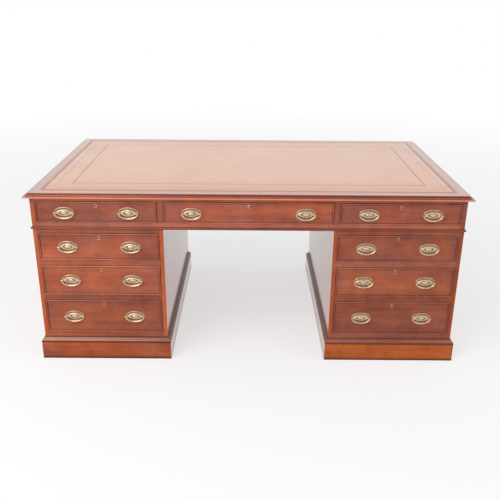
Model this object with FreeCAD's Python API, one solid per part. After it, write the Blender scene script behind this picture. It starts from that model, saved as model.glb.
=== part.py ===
"""Pedestal desk: a leather-lined top over a frieze of three drawers, standing on two pedestals.

Each pedestal holds three graduated drawers and stands on a moulded plinth. Every drawer has a
cock-beaded front, a dovetailed box, a lock and two oval plates with swinging bails.

Millimetres. X runs to the right, Y from the front to the back, Z up. The origin is on the floor
under the middle of the top.
"""

import FreeCAD
import Part
import math
import os

# Top: a mitred border with a hollowed edge round a ground panel that carries the leather
TOP_WIDTH = 1830.0
TOP_DEPTH = 1067.0
TOP_THICKNESS = 15.0
TOP_OVERHANG = 21.0
EDGE_INSET = 16.0
EDGE_NOSE = 4.0
EDGE_FILLET = 3.0
EDGE_HOLLOW = 3.0
BORDER_FLAT = 42.0
LEATHER_THICKNESS = 1.5

# Frieze: the upper case with its three drawer openings
FRIEZE_OPENING_HEIGHT = 93.0
FRIEZE_MIDDLE_OPENING = 703.0
FRIEZE_END = 18.0
FRIEZE_PARTITION = 24.0
FRIEZE_TOP_RAIL = 20.0
FRIEZE_BOTTOM_RAIL = 18.0
FRIEZE_BACK = 20.0
BEAD_HEIGHT = 10.0
BEAD_NOSE = 6.0
BEAD_BACK = 30.0

# Pedestals
PEDESTAL_WIDTH = 540.0
SIDE_THICKNESS = 18.0
TOP_RAIL = 18.0
RAIL = 25.0
BOTTOM_RAIL = 43.0
BOTTOM_BOARD = 18.0
TOP_DRAWER_OPENING = 120.0
MIDDLE_DRAWER_OPENING = 136.0
BOTTOM_DRAWER_OPENING = 155.0

# Inside the cases
RAIL_DEPTH = 60.0
BOTTOM_RAIL_DEPTH = 22.0
RUNNER_WIDTH = 22.0
CROSS_PARTITION = 15.0
DUST_BOARD = 6.0
STOP_WIDTH = 40.0
STOP_LENGTH = 25.0
STOP_THICKNESS = 4.0
STOP_INSET = 70.0

# Panelled back of a pedestal
BACK_FRAME = 18.0
BACK_STILE = 62.0
PANEL_TONGUE = 8.0
PANEL_TONGUE_THICKNESS = 6.0
PANEL_BEVEL = 36.0
PANEL_RISE = 5.0

# Plinths
PLINTH_SEAT = 84.0
PLINTH_FACE = 83.0
PLINTH_PROJECTION = 14.0
PLINTH_LEDGE = 10.0
PLINTH_MOULDING_RISE = 21.0
PLINTH_MOULDING_TOP = 1.5
GLUE_BLOCK = 40.0

# Drawers
DRAWER_LENGTH = 480.0
DRAWER_FRONT = 20.0
DRAWER_SIDE = 10.0
DRAWER_BACK = 10.0
DRAWER_BOTTOM = 7.0
DRAWER_BOTTOM_LIFT = 7.0
DRAWER_GROOVE = 5.0
DRAWER_SIDE_DROP = 4.0
DRAWER_BACK_DROP = 10.0
DRAWER_SIDE_GAP = 1.5
DRAWER_TOP_GAP = 1.5
DRAWER_RUN_GAP = 0.3
DRAWER_END_GAP = 6.0
STOP_GAP = 0.3

# Dovetails at the four corners of a drawer
TAIL_PITCH = 32.0
TAIL_SHARE = 0.62
TAIL_SLOPE = 1.0 / 7.0
TAIL_LAP = 6.0

# Cock bead round a drawer front
COCK_BEAD = 6.0
COCK_BEAD_PROUD = 3.2
COCK_BEAD_SEAT = 8.0

# Oval handles
HANDLE_SPACING = 263.0
MIDDLE_HANDLE_SPACING = 470.0
FRIEZE_HANDLE_INSET = 118.75
FRIEZE_HANDLE_DROP = 3.0
PLATE_WIDTH = 85.0
PLATE_HEIGHT = 51.0
PLATE_RIM = 5.0
PLATE_RIM_RISE = 2.8
PLATE_THICKNESS = 1.2
DOME_WIDTH = 60.0
DOME_HEIGHT = 27.0
DOME_SHOULDER = 4.0
DOME_RISE = 2.4
BOSS_WIDTH = 26.0
BOSS_HEIGHT = 13.0
BOSS_SHOULDER = 3.0
BOSS_RISE = 1.4
POST_SPACING = 67.0
POST_RADIUS = 3.2
POST_REACH = 7.5
POST_CAP = 4.2
SHANK_RADIUS = 2.2
SHANK_CLEARANCE = 0.1
NUT_WIDTH = 9.0
NUT_THICKNESS = 4.0
PIN_RADIUS = 1.5
PIN_CLEARANCE = 0.05
PIN_INSERT = 4.6
BAIL_GAP = 0.5
BAIL_END_RADIUS = 2.0
BAIL_MIDDLE_RADIUS = 2.8
BAIL_BARREL = 2.4
BAIL_DROP = 23.0
BAIL_STEPS = 20

# Locks and their inset brass keyholes
KEYHOLE_DROP = 14.5
KEYHOLE_RADIUS = 3.6
KEYHOLE_SLOT = 4.0
KEYHOLE_LENGTH = 10.5
ESCUTCHEON_RIM = 2.0
ESCUTCHEON_DEPTH = 3.0
ESCUTCHEON_PROUD = 0.3
LOCK_WIDTH = 60.0
LOCK_HEIGHT = 38.0
LOCK_DEPTH = 10.0

# Places worked out from the sizes above
CASE_WIDTH = TOP_WIDTH - 2 * TOP_OVERHANG
CASE_DEPTH = TOP_DEPTH - 2 * TOP_OVERHANG
FACE_Y = -CASE_DEPTH / 2
BACK_Y = CASE_DEPTH / 2
PARTITION_Y = FACE_Y + DRAWER_LENGTH + DRAWER_END_GAP
PEDESTAL_X = (CASE_WIDTH - PEDESTAL_WIDTH) / 2
KNEEHOLE = CASE_WIDTH - 2 * PEDESTAL_WIDTH
OPENING_WIDTH = PEDESTAL_WIDTH - 2 * SIDE_THICKNESS
BOTTOM_OPENING_Z = PLINTH_SEAT + BOTTOM_RAIL
MIDDLE_OPENING_Z = BOTTOM_OPENING_Z + BOTTOM_DRAWER_OPENING + RAIL
TOP_OPENING_Z = MIDDLE_OPENING_Z + MIDDLE_DRAWER_OPENING + RAIL
PEDESTAL_TOP_Z = TOP_OPENING_Z + TOP_DRAWER_OPENING + TOP_RAIL
FRIEZE_Z = PEDESTAL_TOP_Z + BEAD_HEIGHT
FRIEZE_OPENING_Z = FRIEZE_Z + FRIEZE_BOTTOM_RAIL
FRIEZE_RAIL_Z = FRIEZE_OPENING_Z + FRIEZE_OPENING_HEIGHT
TOP_Z = FRIEZE_RAIL_Z + FRIEZE_TOP_RAIL
DESK_HEIGHT = TOP_Z + TOP_THICKNESS
FRIEZE_INSIDE = CASE_WIDTH / 2 - FRIEZE_END
FRIEZE_SIDE_INNER = FRIEZE_MIDDLE_OPENING / 2 + FRIEZE_PARTITION
FRIEZE_SIDE_OPENING = FRIEZE_INSIDE - FRIEZE_SIDE_INNER
FRIEZE_SIDE_X = (FRIEZE_INSIDE + FRIEZE_SIDE_INNER) / 2
FRIEZE_HANDLE_SPACING = FRIEZE_SIDE_OPENING - 2 * FRIEZE_HANDLE_INSET
BAIL_SPAN = POST_SPACING + 2 * (POST_RADIUS + BAIL_GAP + BAIL_BARREL)

# Drawer openings: name, middle in X, bottom in Z, width, height, then the handles' spacing and how far
# they hang under the middle of the front
DRAWERS = [
    ("frieze_left_drawer", -FRIEZE_SIDE_X, FRIEZE_OPENING_Z,
     FRIEZE_SIDE_OPENING, FRIEZE_OPENING_HEIGHT, FRIEZE_HANDLE_SPACING, FRIEZE_HANDLE_DROP),
    ("frieze_middle_drawer", 0.0, FRIEZE_OPENING_Z,
     FRIEZE_MIDDLE_OPENING, FRIEZE_OPENING_HEIGHT, MIDDLE_HANDLE_SPACING, FRIEZE_HANDLE_DROP),
    ("frieze_right_drawer", FRIEZE_SIDE_X, FRIEZE_OPENING_Z,
     FRIEZE_SIDE_OPENING, FRIEZE_OPENING_HEIGHT, FRIEZE_HANDLE_SPACING, FRIEZE_HANDLE_DROP),
]
for side_name, side_x in (("left", -PEDESTAL_X), ("right", PEDESTAL_X)):
    DRAWERS += [
        (f"{side_name}_top_drawer", side_x, TOP_OPENING_Z,
         OPENING_WIDTH, TOP_DRAWER_OPENING, HANDLE_SPACING, 0.0),
        (f"{side_name}_middle_drawer", side_x, MIDDLE_OPENING_Z,
         OPENING_WIDTH, MIDDLE_DRAWER_OPENING, HANDLE_SPACING, 0.0),
        (f"{side_name}_bottom_drawer", side_x, BOTTOM_OPENING_Z,
         OPENING_WIDTH, BOTTOM_DRAWER_OPENING, HANDLE_SPACING, 0.0),
    ]


def vector(x, y, z):
    return FreeCAD.Vector(x, y, z)


X_AXIS = vector(1, 0, 0)
Y_AXIS = vector(0, 1, 0)
Z_AXIS = vector(0, 0, 1)
ORIGIN = vector(0, 0, 0)
MITRE_MARGIN = 1.0


def board(x0, x1, y0, y1, z0, z1):
    """A rectangular board between two corners."""
    return Part.makeBox(x1 - x0, y1 - y0, z1 - z0, vector(x0, y0, z0))


def moved(shape, x=0.0, y=0.0, z=0.0):
    """A copy of a shape, carried along the axes."""
    copy = shape.copy()
    copy.translate(vector(x, y, z))
    return copy


def prism(points, direction):
    """A straight-sided solid: a closed polygon carried along a direction."""
    return Part.Face(Part.makePolygon(points + points[:1])).extrude(direction)


def section_face(outline, place):
    """A moulding's section from points (out, up), each set by place in its plane.

    A step is the next point, or a pair of points: the middle and the end of an arc.
    """
    edges = []
    here = outline[0]
    for step in outline[1:] + outline[:1]:
        if isinstance(step[0], tuple):
            edges.append(Part.Arc(place(here), place(step[0]), place(step[1])).toShape())
            here = step[1]
        else:
            edges.append(Part.makeLine(place(here), place(step)))
            here = step
    return Part.Face(Part.Wire(edges))


def mitred_strip(outline, corner, out, run, length, up):
    """One side of a mitred frame: a section carried along a run from its corner, cut at 45 degrees."""
    points = [point for step in outline for point in (step if isinstance(step[0], tuple) else (step,))]
    reach = max(abs(point[0]) for point in points) + MITRE_MARGIN
    low = min(point[1] for point in points) - MITRE_MARGIN
    high = max(point[1] for point in points) + MITRE_MARGIN
    section = section_face(outline, lambda point: corner - run * reach + out * point[0] + up * point[1])
    mitre = prism(
        [
            corner + (out - run) * reach + up * low,
            corner + (out + run) * reach + run * length + up * low,
            corner - (out + run) * reach + run * length + up * low,
            corner - (out - run) * reach + up * low,
        ],
        up * (high - low),
    )
    return section.extrude(run * (length + 2 * reach)).common(mitre).Solids[0]


def mitred_frame(outline, middle, across, half_across, along, half_along):
    """Four mitred strips round a rectangle that lies along two directions about its middle.

    The outline is the strips' section: out from the rectangle's edge, up square to its plane.
    """
    up = across.cross(along)
    right = across * half_across
    far = along * half_along
    return [
        mitred_strip(outline, middle - right - far, along * -1, across, 2 * half_across, up),
        mitred_strip(outline, middle + right - far, across, along, 2 * half_along, up),
        mitred_strip(outline, middle - right + far, along, across, 2 * half_across, up),
        mitred_strip(outline, middle - right - far, across * -1, along, 2 * half_along, up),
    ]


# Top

def top_border():
    """The mitred border: a flat band, a small fillet and a hollow that runs out to a thin nose."""
    width = EDGE_INSET + BORDER_FLAT
    hollow_top = TOP_THICKNESS - EDGE_FILLET
    chord = math.hypot(EDGE_INSET, hollow_top - EDGE_NOSE)
    hollow = (
        -EDGE_INSET / 2 - EDGE_HOLLOW * (hollow_top - EDGE_NOSE) / chord,
        (EDGE_NOSE + hollow_top) / 2 - EDGE_HOLLOW * EDGE_INSET / chord,
    )
    outline = [
        (-width, 0),
        (0, 0),
        (0, EDGE_NOSE),
        (hollow, (-EDGE_INSET, hollow_top)),
        (-EDGE_INSET, TOP_THICKNESS),
        (-width, TOP_THICKNESS),
    ]
    return mitred_frame(outline, vector(0, 0, TOP_Z), X_AXIS, TOP_WIDTH / 2, Y_AXIS, TOP_DEPTH / 2)


def inside_border(z0, z1):
    """A sheet that fills the border from edge to edge."""
    half_x = TOP_WIDTH / 2 - EDGE_INSET - BORDER_FLAT
    half_y = TOP_DEPTH / 2 - EDGE_INSET - BORDER_FLAT
    return board(-half_x, half_x, -half_y, half_y, z0, z1)


def ground_panel():
    """The board under the leather, let in by the leather's thickness."""
    return [inside_border(TOP_Z, DESK_HEIGHT - LEATHER_THICKNESS)]


def leather():
    """The writing surface, flush with the border."""
    return [inside_border(DESK_HEIGHT - LEATHER_THICKNESS, DESK_HEIGHT)]


# Frieze

def frieze_case():
    """Ends, drawer partitions and the back, where planted beads outline three false fronts."""
    half = CASE_WIDTH / 2
    pieces = [
        board(-half, -FRIEZE_INSIDE, FACE_Y, BACK_Y, FRIEZE_Z, TOP_Z),
        board(FRIEZE_INSIDE, half, FACE_Y, BACK_Y, FRIEZE_Z, TOP_Z),
        board(-FRIEZE_INSIDE, FRIEZE_INSIDE, BACK_Y - FRIEZE_BACK, BACK_Y, FRIEZE_Z, TOP_Z),
    ]
    for x0, x1 in frieze_partitions():
        pieces.append(board(x0, x1, FACE_Y, PARTITION_Y, FRIEZE_OPENING_Z, FRIEZE_RAIL_Z))
    for name, x, z, width, height, *handles in DRAWERS[:3]:
        middle = vector(x, BACK_Y, z + height / 2)
        pieces += mitred_frame(cock_bead_outline(0.0), middle, X_AXIS * -1, width / 2, Z_AXIS, height / 2)
    return pieces


def frieze_partitions():
    """The span in X of each upright between the drawers."""
    return [
        (-FRIEZE_SIDE_INNER, -FRIEZE_MIDDLE_OPENING / 2),
        (FRIEZE_MIDDLE_OPENING / 2, FRIEZE_SIDE_INNER),
    ]


def frieze_rails():
    """The two long rails above and below the drawers."""
    back = FACE_Y + RAIL_DEPTH
    return [
        board(-FRIEZE_INSIDE, FRIEZE_INSIDE, FACE_Y, back, FRIEZE_Z, FRIEZE_OPENING_Z),
        board(-FRIEZE_INSIDE, FRIEZE_INSIDE, FACE_Y, back, FRIEZE_RAIL_Z, TOP_Z),
    ]


def drawer_stops(x, z, width):
    """Two small blocks on a rail that meet the back of the drawer front."""
    front = FACE_Y + DRAWER_FRONT + STOP_GAP
    return [
        board(x + side * (width / 2 - STOP_INSET) - STOP_WIDTH / 2,
              x + side * (width / 2 - STOP_INSET) + STOP_WIDTH / 2,
              front, front + STOP_LENGTH, z, z + STOP_THICKNESS)
        for side in (-1, 1)
    ]


def frieze_runners():
    """Runners under the drawer sides, kickers over them, dust boards, stops and the cross partition.

    Bearers carry the frieze on the pedestals' inner sides, and a soffit closes the kneehole's far half.
    """
    front = FACE_Y + RAIL_DEPTH
    partition_back = PARTITION_Y + CROSS_PARTITION
    back = BACK_Y - FRIEZE_BACK
    half_middle = FRIEZE_MIDDLE_OPENING / 2
    pieces = [
        board(-FRIEZE_INSIDE, FRIEZE_INSIDE, PARTITION_Y, partition_back, FRIEZE_Z, TOP_Z),
        board(-half_middle, half_middle, partition_back, back, FRIEZE_Z, FRIEZE_Z + DUST_BOARD),
    ]
    inner_side = KNEEHOLE / 2
    for x0, x1 in ((-inner_side - SIDE_THICKNESS, -inner_side), (inner_side, inner_side + SIDE_THICKNESS)):
        pieces.append(board(x0, x1, FACE_Y + BEAD_BACK, BACK_Y - BEAD_BACK, PEDESTAL_TOP_Z, FRIEZE_Z))
    for name, x, z, width, height, *handles in DRAWERS[:3]:
        pieces += drawer_stops(x, z, width)
    spans = [
        (-FRIEZE_INSIDE, -FRIEZE_INSIDE + RUNNER_WIDTH),
        (-FRIEZE_SIDE_INNER - RUNNER_WIDTH, -FRIEZE_MIDDLE_OPENING / 2 + RUNNER_WIDTH),
        (FRIEZE_MIDDLE_OPENING / 2 - RUNNER_WIDTH, FRIEZE_SIDE_INNER + RUNNER_WIDTH),
        (FRIEZE_INSIDE - RUNNER_WIDTH, FRIEZE_INSIDE),
    ]
    for x0, x1 in spans:
        pieces.append(board(x0, x1, front, PARTITION_Y, FRIEZE_Z, FRIEZE_OPENING_Z))
        pieces.append(board(x0, x1, front, PARTITION_Y, FRIEZE_RAIL_Z, TOP_Z))
    for (_, x0), (x1, _) in zip(spans, spans[1:]):
        pieces.append(board(x0, x1, front, PARTITION_Y, FRIEZE_Z, FRIEZE_Z + DUST_BOARD))
    return pieces


def frieze_bead():
    """The half-round moulding round the foot of the frieze."""
    radius = BEAD_HEIGHT / 2
    shoulder = BEAD_NOSE - radius
    part_way = radius * math.sqrt(0.5)
    outline = [
        (-BEAD_BACK, 0),
        (shoulder, 0),
        ((shoulder + part_way, radius - part_way), (BEAD_NOSE, radius)),
        ((shoulder + part_way, radius + part_way), (shoulder, BEAD_HEIGHT)),
        (-BEAD_BACK, BEAD_HEIGHT),
    ]
    return mitred_frame(outline, vector(0, 0, PEDESTAL_TOP_Z), X_AXIS, CASE_WIDTH / 2, Y_AXIS, CASE_DEPTH / 2)


# Pedestals, modelled about X = 0 and carried to their places

def pedestal_case():
    """Two sides and the four front rails between them."""
    half = PEDESTAL_WIDTH / 2
    inside = OPENING_WIDTH / 2
    rail_back = FACE_Y + RAIL_DEPTH
    pieces = [
        board(-half, -inside, FACE_Y, BACK_Y, PLINTH_SEAT, PEDESTAL_TOP_Z),
        board(inside, half, FACE_Y, BACK_Y, PLINTH_SEAT, PEDESTAL_TOP_Z),
        board(-inside, inside, FACE_Y, FACE_Y + BOTTOM_RAIL_DEPTH, PLINTH_SEAT, BOTTOM_OPENING_Z),
        board(-inside, inside, FACE_Y, rail_back, PEDESTAL_TOP_Z - TOP_RAIL, PEDESTAL_TOP_Z),
    ]
    for top in (MIDDLE_OPENING_Z, TOP_OPENING_Z):
        pieces.append(board(-inside, inside, FACE_Y, rail_back, top - RAIL, top))
    return pieces


def pedestal_runners():
    """Bottom and top boards, the cross partition, and each drawer's runners, dust board and stops."""
    inside = OPENING_WIDTH / 2
    back = BACK_Y - BACK_FRAME
    rail_back = FACE_Y + RAIL_DEPTH
    runner_x = inside - RUNNER_WIDTH
    bottom = PLINTH_SEAT + BOTTOM_BOARD
    top_board = PEDESTAL_TOP_Z - TOP_RAIL
    bottom_front = FACE_Y + BOTTOM_RAIL_DEPTH
    pieces = [
        board(-inside, inside, bottom_front, back, PLINTH_SEAT, bottom),
        board(-inside, inside, rail_back, back, top_board, PEDESTAL_TOP_Z),
        board(-inside, inside, PARTITION_Y, PARTITION_Y + CROSS_PARTITION, bottom, top_board),
        board(-inside, inside, bottom_front, rail_back, bottom, BOTTOM_OPENING_Z),
    ]
    for x0, x1 in ((-inside, -runner_x), (runner_x, inside)):
        pieces.append(board(x0, x1, rail_back, PARTITION_Y, bottom, BOTTOM_OPENING_Z))
        for top in (MIDDLE_OPENING_Z, TOP_OPENING_Z):
            pieces.append(board(x0, x1, rail_back, PARTITION_Y, top - RAIL, top))
    for top in (MIDDLE_OPENING_Z, TOP_OPENING_Z):
        dust = top - (RAIL + DUST_BOARD) / 2
        pieces.append(board(-runner_x, runner_x, rail_back, PARTITION_Y, dust, dust + DUST_BOARD))
    for z in (BOTTOM_OPENING_Z, MIDDLE_OPENING_Z, TOP_OPENING_Z):
        pieces += drawer_stops(0.0, z, OPENING_WIDTH)
    return pieces


def pedestal_back():
    """A framed back: two stiles, two rails and a fielded panel with its tongue in their grooves."""
    inside = OPENING_WIDTH / 2
    front = BACK_Y - BACK_FRAME
    opening_x = inside - BACK_STILE
    bottom = PLINTH_SEAT
    opening_z = (bottom + BACK_STILE + PLINTH_MOULDING_RISE, PEDESTAL_TOP_Z - BACK_STILE)
    tongue_y = front + (BACK_FRAME - PANEL_TONGUE_THICKNESS) / 2
    tongue = board(-opening_x - PANEL_TONGUE, opening_x + PANEL_TONGUE,
                   tongue_y, tongue_y + PANEL_TONGUE_THICKNESS,
                   opening_z[0] - PANEL_TONGUE, opening_z[1] + PANEL_TONGUE)
    frame = [
        board(-inside, -opening_x, front, BACK_Y, bottom, PEDESTAL_TOP_Z),
        board(opening_x, inside, front, BACK_Y, bottom, PEDESTAL_TOP_Z),
        board(-opening_x, opening_x, front, BACK_Y, bottom, opening_z[0]),
        board(-opening_x, opening_x, front, BACK_Y, opening_z[1], PEDESTAL_TOP_Z),
    ]
    field = Part.makeLoft(
        [
            panel_outline(opening_x, opening_z, 0.0, tongue_y + PANEL_TONGUE_THICKNESS),
            panel_outline(opening_x, opening_z, PANEL_BEVEL, tongue_y + PANEL_TONGUE_THICKNESS + PANEL_RISE),
        ],
        True, True,
    )
    panel = tongue.fuse(field).removeSplitter().Solids[0]
    return [piece.cut(tongue).Solids[0] for piece in frame] + [panel]


def panel_outline(half_x, z_span, inset, y):
    """A rectangle in the plane Y = y, drawn in from the panel's opening."""
    x = half_x - inset
    z0, z1 = z_span[0] + inset, z_span[1] - inset
    corners = [vector(-x, y, z0), vector(x, y, z0), vector(x, y, z1), vector(-x, y, z1)]
    return Part.makePolygon(corners + corners[:1])


def plinth():
    """Four mitred boards with an ogee top, and the glue blocks in their corners."""
    rise_top = PLINTH_FACE + PLINTH_MOULDING_RISE
    run = (PLINTH_PROJECTION - PLINTH_MOULDING_TOP) / 2
    rise = PLINTH_MOULDING_RISE / 2
    radius = (run ** 2 + rise ** 2) / (2 * run)
    half_angle = math.atan2(run, rise)
    swell_out = radius * (1 - math.cos(half_angle))
    swell_up = radius * math.sin(half_angle)
    outline = [
        (-PLINTH_LEDGE, 0),
        (PLINTH_PROJECTION, 0),
        (PLINTH_PROJECTION, PLINTH_FACE),
        ((PLINTH_PROJECTION - swell_out, PLINTH_FACE + swell_up),
         (PLINTH_PROJECTION - run, PLINTH_FACE + rise)),
        ((PLINTH_MOULDING_TOP + swell_out, rise_top - swell_up), (PLINTH_MOULDING_TOP, rise_top)),
        (0, rise_top),
        (0, PLINTH_SEAT),
        (-PLINTH_LEDGE, PLINTH_SEAT),
    ]
    pieces = mitred_frame(outline, ORIGIN, X_AXIS, PEDESTAL_WIDTH / 2, Y_AXIS, CASE_DEPTH / 2)
    corner_x = PEDESTAL_WIDTH / 2 - PLINTH_LEDGE
    corner_y = CASE_DEPTH / 2 - PLINTH_LEDGE
    for sx in (-1, 1):
        for sy in (-1, 1):
            corner = vector(sx * corner_x, sy * corner_y, 0)
            points = [corner, corner - vector(sx * GLUE_BLOCK, 0, 0), corner - vector(0, sy * GLUE_BLOCK, 0)]
            pieces.append(prism(points, vector(0, 0, PLINTH_SEAT)))
    return pieces


# Drawers, modelled with the front's face at Y = 0 and its lower edge at Z = 0

def tails(side, z0, z1, root_y, tip_y, half_width):
    """The dovetails on one drawer side, between two heights: narrow at the root, wide at the tip."""
    count = max(1, round((z1 - z0) / TAIL_PITCH))
    pitch = (z1 - z0) / count
    root = pitch * TAIL_SHARE / 2
    tip = root + abs(tip_y - root_y) * TAIL_SLOPE
    x0, x1 = sorted((side * half_width, side * (half_width - DRAWER_SIDE)))
    found = []
    for index in range(count):
        middle = z0 + (index + 0.5) * pitch
        corners = [
            vector(x0, root_y, middle - root),
            vector(x0, tip_y, middle - tip),
            vector(x0, tip_y, middle + tip),
            vector(x0, root_y, middle + root),
        ]
        found.append(prism(corners, vector(x1 - x0, 0, 0)))
    return found


def keyhole(x, z, y0, y1, grow):
    """A keyhole's outline, grown by a rim, as a bar along Y: a round eye over a straight slot."""
    eye = Part.makeCylinder(KEYHOLE_RADIUS + grow, y1 - y0, vector(x, y0, z), Y_AXIS)
    half = KEYHOLE_SLOT / 2 + grow
    slot = board(x - half, x + half, y0, y1, z - KEYHOLE_LENGTH - grow, z)
    return eye.fuse(slot).removeSplitter()


def drawer_pieces(width, height, spacing, drop):
    """The front with its beads, the box, the fittings and the bails of one drawer."""
    outer = width - 2 * DRAWER_SIDE_GAP
    tall = height - DRAWER_RUN_GAP - DRAWER_TOP_GAP
    half = outer / 2
    side_top = tall - DRAWER_SIDE_DROP
    bottom_top = DRAWER_BOTTOM_LIFT + DRAWER_BOTTOM
    back_top = side_top - DRAWER_BACK_DROP
    back_y = DRAWER_LENGTH - DRAWER_BACK

    bottom = board(-half + DRAWER_SIDE - DRAWER_GROOVE, half - DRAWER_SIDE + DRAWER_GROOVE,
                   DRAWER_FRONT - DRAWER_GROOVE, DRAWER_LENGTH, DRAWER_BOTTOM_LIFT, bottom_top)
    front_tails = []
    back_tails = []
    for side in (-1, 1):
        front_tails += tails(side, 0.0, side_top, DRAWER_FRONT, TAIL_LAP, half)
        back_tails += tails(side, bottom_top, back_top, back_y, DRAWER_LENGTH, half)
    back = board(-half, half, back_y, DRAWER_LENGTH, bottom_top, back_top).cut(back_tails).Solids[0]

    outline = cock_bead_outline(COCK_BEAD_SEAT)
    beads = mitred_frame(outline, vector(0, 0, tall / 2), X_AXIS, half, Z_AXIS, tall / 2)
    hands = [(x, tall / 2 - drop) for x in (-spacing / 2, spacing / 2)]
    lock, lock_recess, escutcheon, escutcheon_recess = lock_pieces(tall)
    shanks = [
        Part.makeCylinder(SHANK_RADIUS + SHANK_CLEARANCE, DRAWER_FRONT, vector(x + dx, 0, z), Y_AXIS)
        for x, z in hands for dx in (-POST_SPACING / 2, POST_SPACING / 2)
    ]
    blank = board(-half, half, 0.0, DRAWER_FRONT, 0.0, tall)
    rebate = board(-half, half, 0.0, COCK_BEAD_SEAT, 0.0, tall).cut(
        board(-half + COCK_BEAD, half - COCK_BEAD, 0.0, COCK_BEAD_SEAT, COCK_BEAD, tall - COCK_BEAD))
    front = blank.cut([rebate, bottom, lock_recess, escutcheon_recess] + front_tails + shanks).Solids[0]

    box = [back, bottom]
    for side in (-1, 1):
        x0, x1 = sorted((side * half, side * (half - DRAWER_SIDE)))
        blank = board(x0, x1, TAIL_LAP, DRAWER_LENGTH, 0.0, side_top)
        box.append(blank.cut([front, back, bottom, rebate]).Solids[0])

    fittings = [lock, escutcheon]
    for x, z in hands:
        fittings += [moved(piece, x=x, z=z) for piece in handle_fixings()]
    bails = [moved(bail(), x=x, z=z) for x, z in hands]
    return [front] + beads, box, fittings, bails


def cock_bead_outline(seat):
    """A thin strip let into the front's edge, with a rounded nose that stands proud of the face."""
    shoulder = COCK_BEAD_PROUD - COCK_BEAD / 2
    return [
        (-COCK_BEAD, -seat),
        (0, -seat),
        (0, shoulder),
        ((-COCK_BEAD / 2, COCK_BEAD_PROUD), (-COCK_BEAD, shoulder)),
    ]


def lock_pieces(tall):
    """The lock let into the back of a front, its brass keyhole, and the recesses for both."""
    z = tall - KEYHOLE_DROP
    half = LOCK_WIDTH / 2
    inner = DRAWER_FRONT - LOCK_DEPTH
    lock = board(-half, half, inner, DRAWER_FRONT, tall - LOCK_HEIGHT, tall)
    escutcheon = keyhole(0.0, z, -ESCUTCHEON_PROUD, ESCUTCHEON_DEPTH, ESCUTCHEON_RIM)
    recess = keyhole(0.0, z, 0.0, ESCUTCHEON_DEPTH, ESCUTCHEON_RIM)
    passage = keyhole(0.0, z, -ESCUTCHEON_PROUD, inner, 0.0)
    return lock, lock, escutcheon.cut(passage).Solids[0], recess.fuse(passage)


# Oval handles, modelled about the middle of the plate with the drawer's face at Y = 0

def ellipse_wire(width, height, out):
    """An upright ellipse, that far out from the drawer's face."""
    curve = Part.Ellipse(vector(0, -out, 0), width / 2, height / 2).toShape()
    curve.rotate(vector(0, -out, 0), X_AXIS, 90)
    return Part.Wire(curve)


def oval_plate():
    """A pressed plate: a bevelled rim, a sunk channel and a raised oval with a boss."""
    rim_out = PLATE_RIM_RISE
    channel = PLATE_THICKNESS
    dome = channel + DOME_RISE
    boss = dome + BOSS_RISE
    bevel = PLATE_RIM / 3
    rings = [
        (PLATE_WIDTH, PLATE_HEIGHT, 0.0),
        (PLATE_WIDTH, PLATE_HEIGHT, PLATE_THICKNESS),
        (PLATE_WIDTH - 2 * bevel, PLATE_HEIGHT - 2 * bevel, rim_out),
        (PLATE_WIDTH - 4 * bevel, PLATE_HEIGHT - 4 * bevel, rim_out),
        (PLATE_WIDTH - 2 * PLATE_RIM, PLATE_HEIGHT - 2 * PLATE_RIM, channel),
        (DOME_WIDTH, DOME_HEIGHT, channel),
        (DOME_WIDTH - 2 * DOME_SHOULDER, DOME_HEIGHT - 2 * DOME_SHOULDER, dome),
        (BOSS_WIDTH, BOSS_HEIGHT, dome),
        (BOSS_WIDTH - 2 * BOSS_SHOULDER, BOSS_HEIGHT - 2 * BOSS_SHOULDER, boss),
    ]
    return Part.makeLoft([ellipse_wire(*ring) for ring in rings], True, True)


def post(x):
    """A turned post with its threaded shank, and the cross hole that takes the bail's pin."""
    head = POST_REACH + POST_CAP
    outline = [
        (0, DRAWER_FRONT + NUT_THICKNESS),
        (SHANK_RADIUS, DRAWER_FRONT + NUT_THICKNESS),
        (SHANK_RADIUS, -PLATE_THICKNESS),
        (POST_RADIUS, -PLATE_THICKNESS),
        (POST_RADIUS, -POST_REACH - POST_CAP / 2),
        (POST_RADIUS / 2, -head),
        (0, -head),
    ]
    points = [vector(radius, y, 0) for radius, y in outline]
    turned_post = Part.Face(Part.makePolygon(points + points[:1])).revolve(ORIGIN, Y_AXIS, 360)
    bore = Part.makeCylinder(PIN_RADIUS + PIN_CLEARANCE, 2 * POST_RADIUS,
                             vector(-POST_RADIUS, -POST_REACH, 0), X_AXIS)
    return moved(turned_post.cut(bore).Solids[0], x=x)


def nut(x):
    """The square nut behind the drawer front."""
    half = NUT_WIDTH / 2
    block = board(x - half, x + half, DRAWER_FRONT, DRAWER_FRONT + NUT_THICKNESS, -half, half)
    hole = Part.makeCylinder(SHANK_RADIUS, NUT_THICKNESS, vector(x, DRAWER_FRONT, 0), Y_AXIS)
    return block.cut(hole).Solids[0]


def handle_fixings():
    """The plate, two posts and two nuts of one handle."""
    places = (-POST_SPACING / 2, POST_SPACING / 2)
    holes = [
        Part.makeCylinder(SHANK_RADIUS, PLATE_THICKNESS, vector(x, 0, 0), Y_AXIS * -1)
        for x in places
    ]
    plate = oval_plate().cut(holes).Solids[0]
    return [plate] + [make(x) for x in places for make in (post, nut)]


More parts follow.
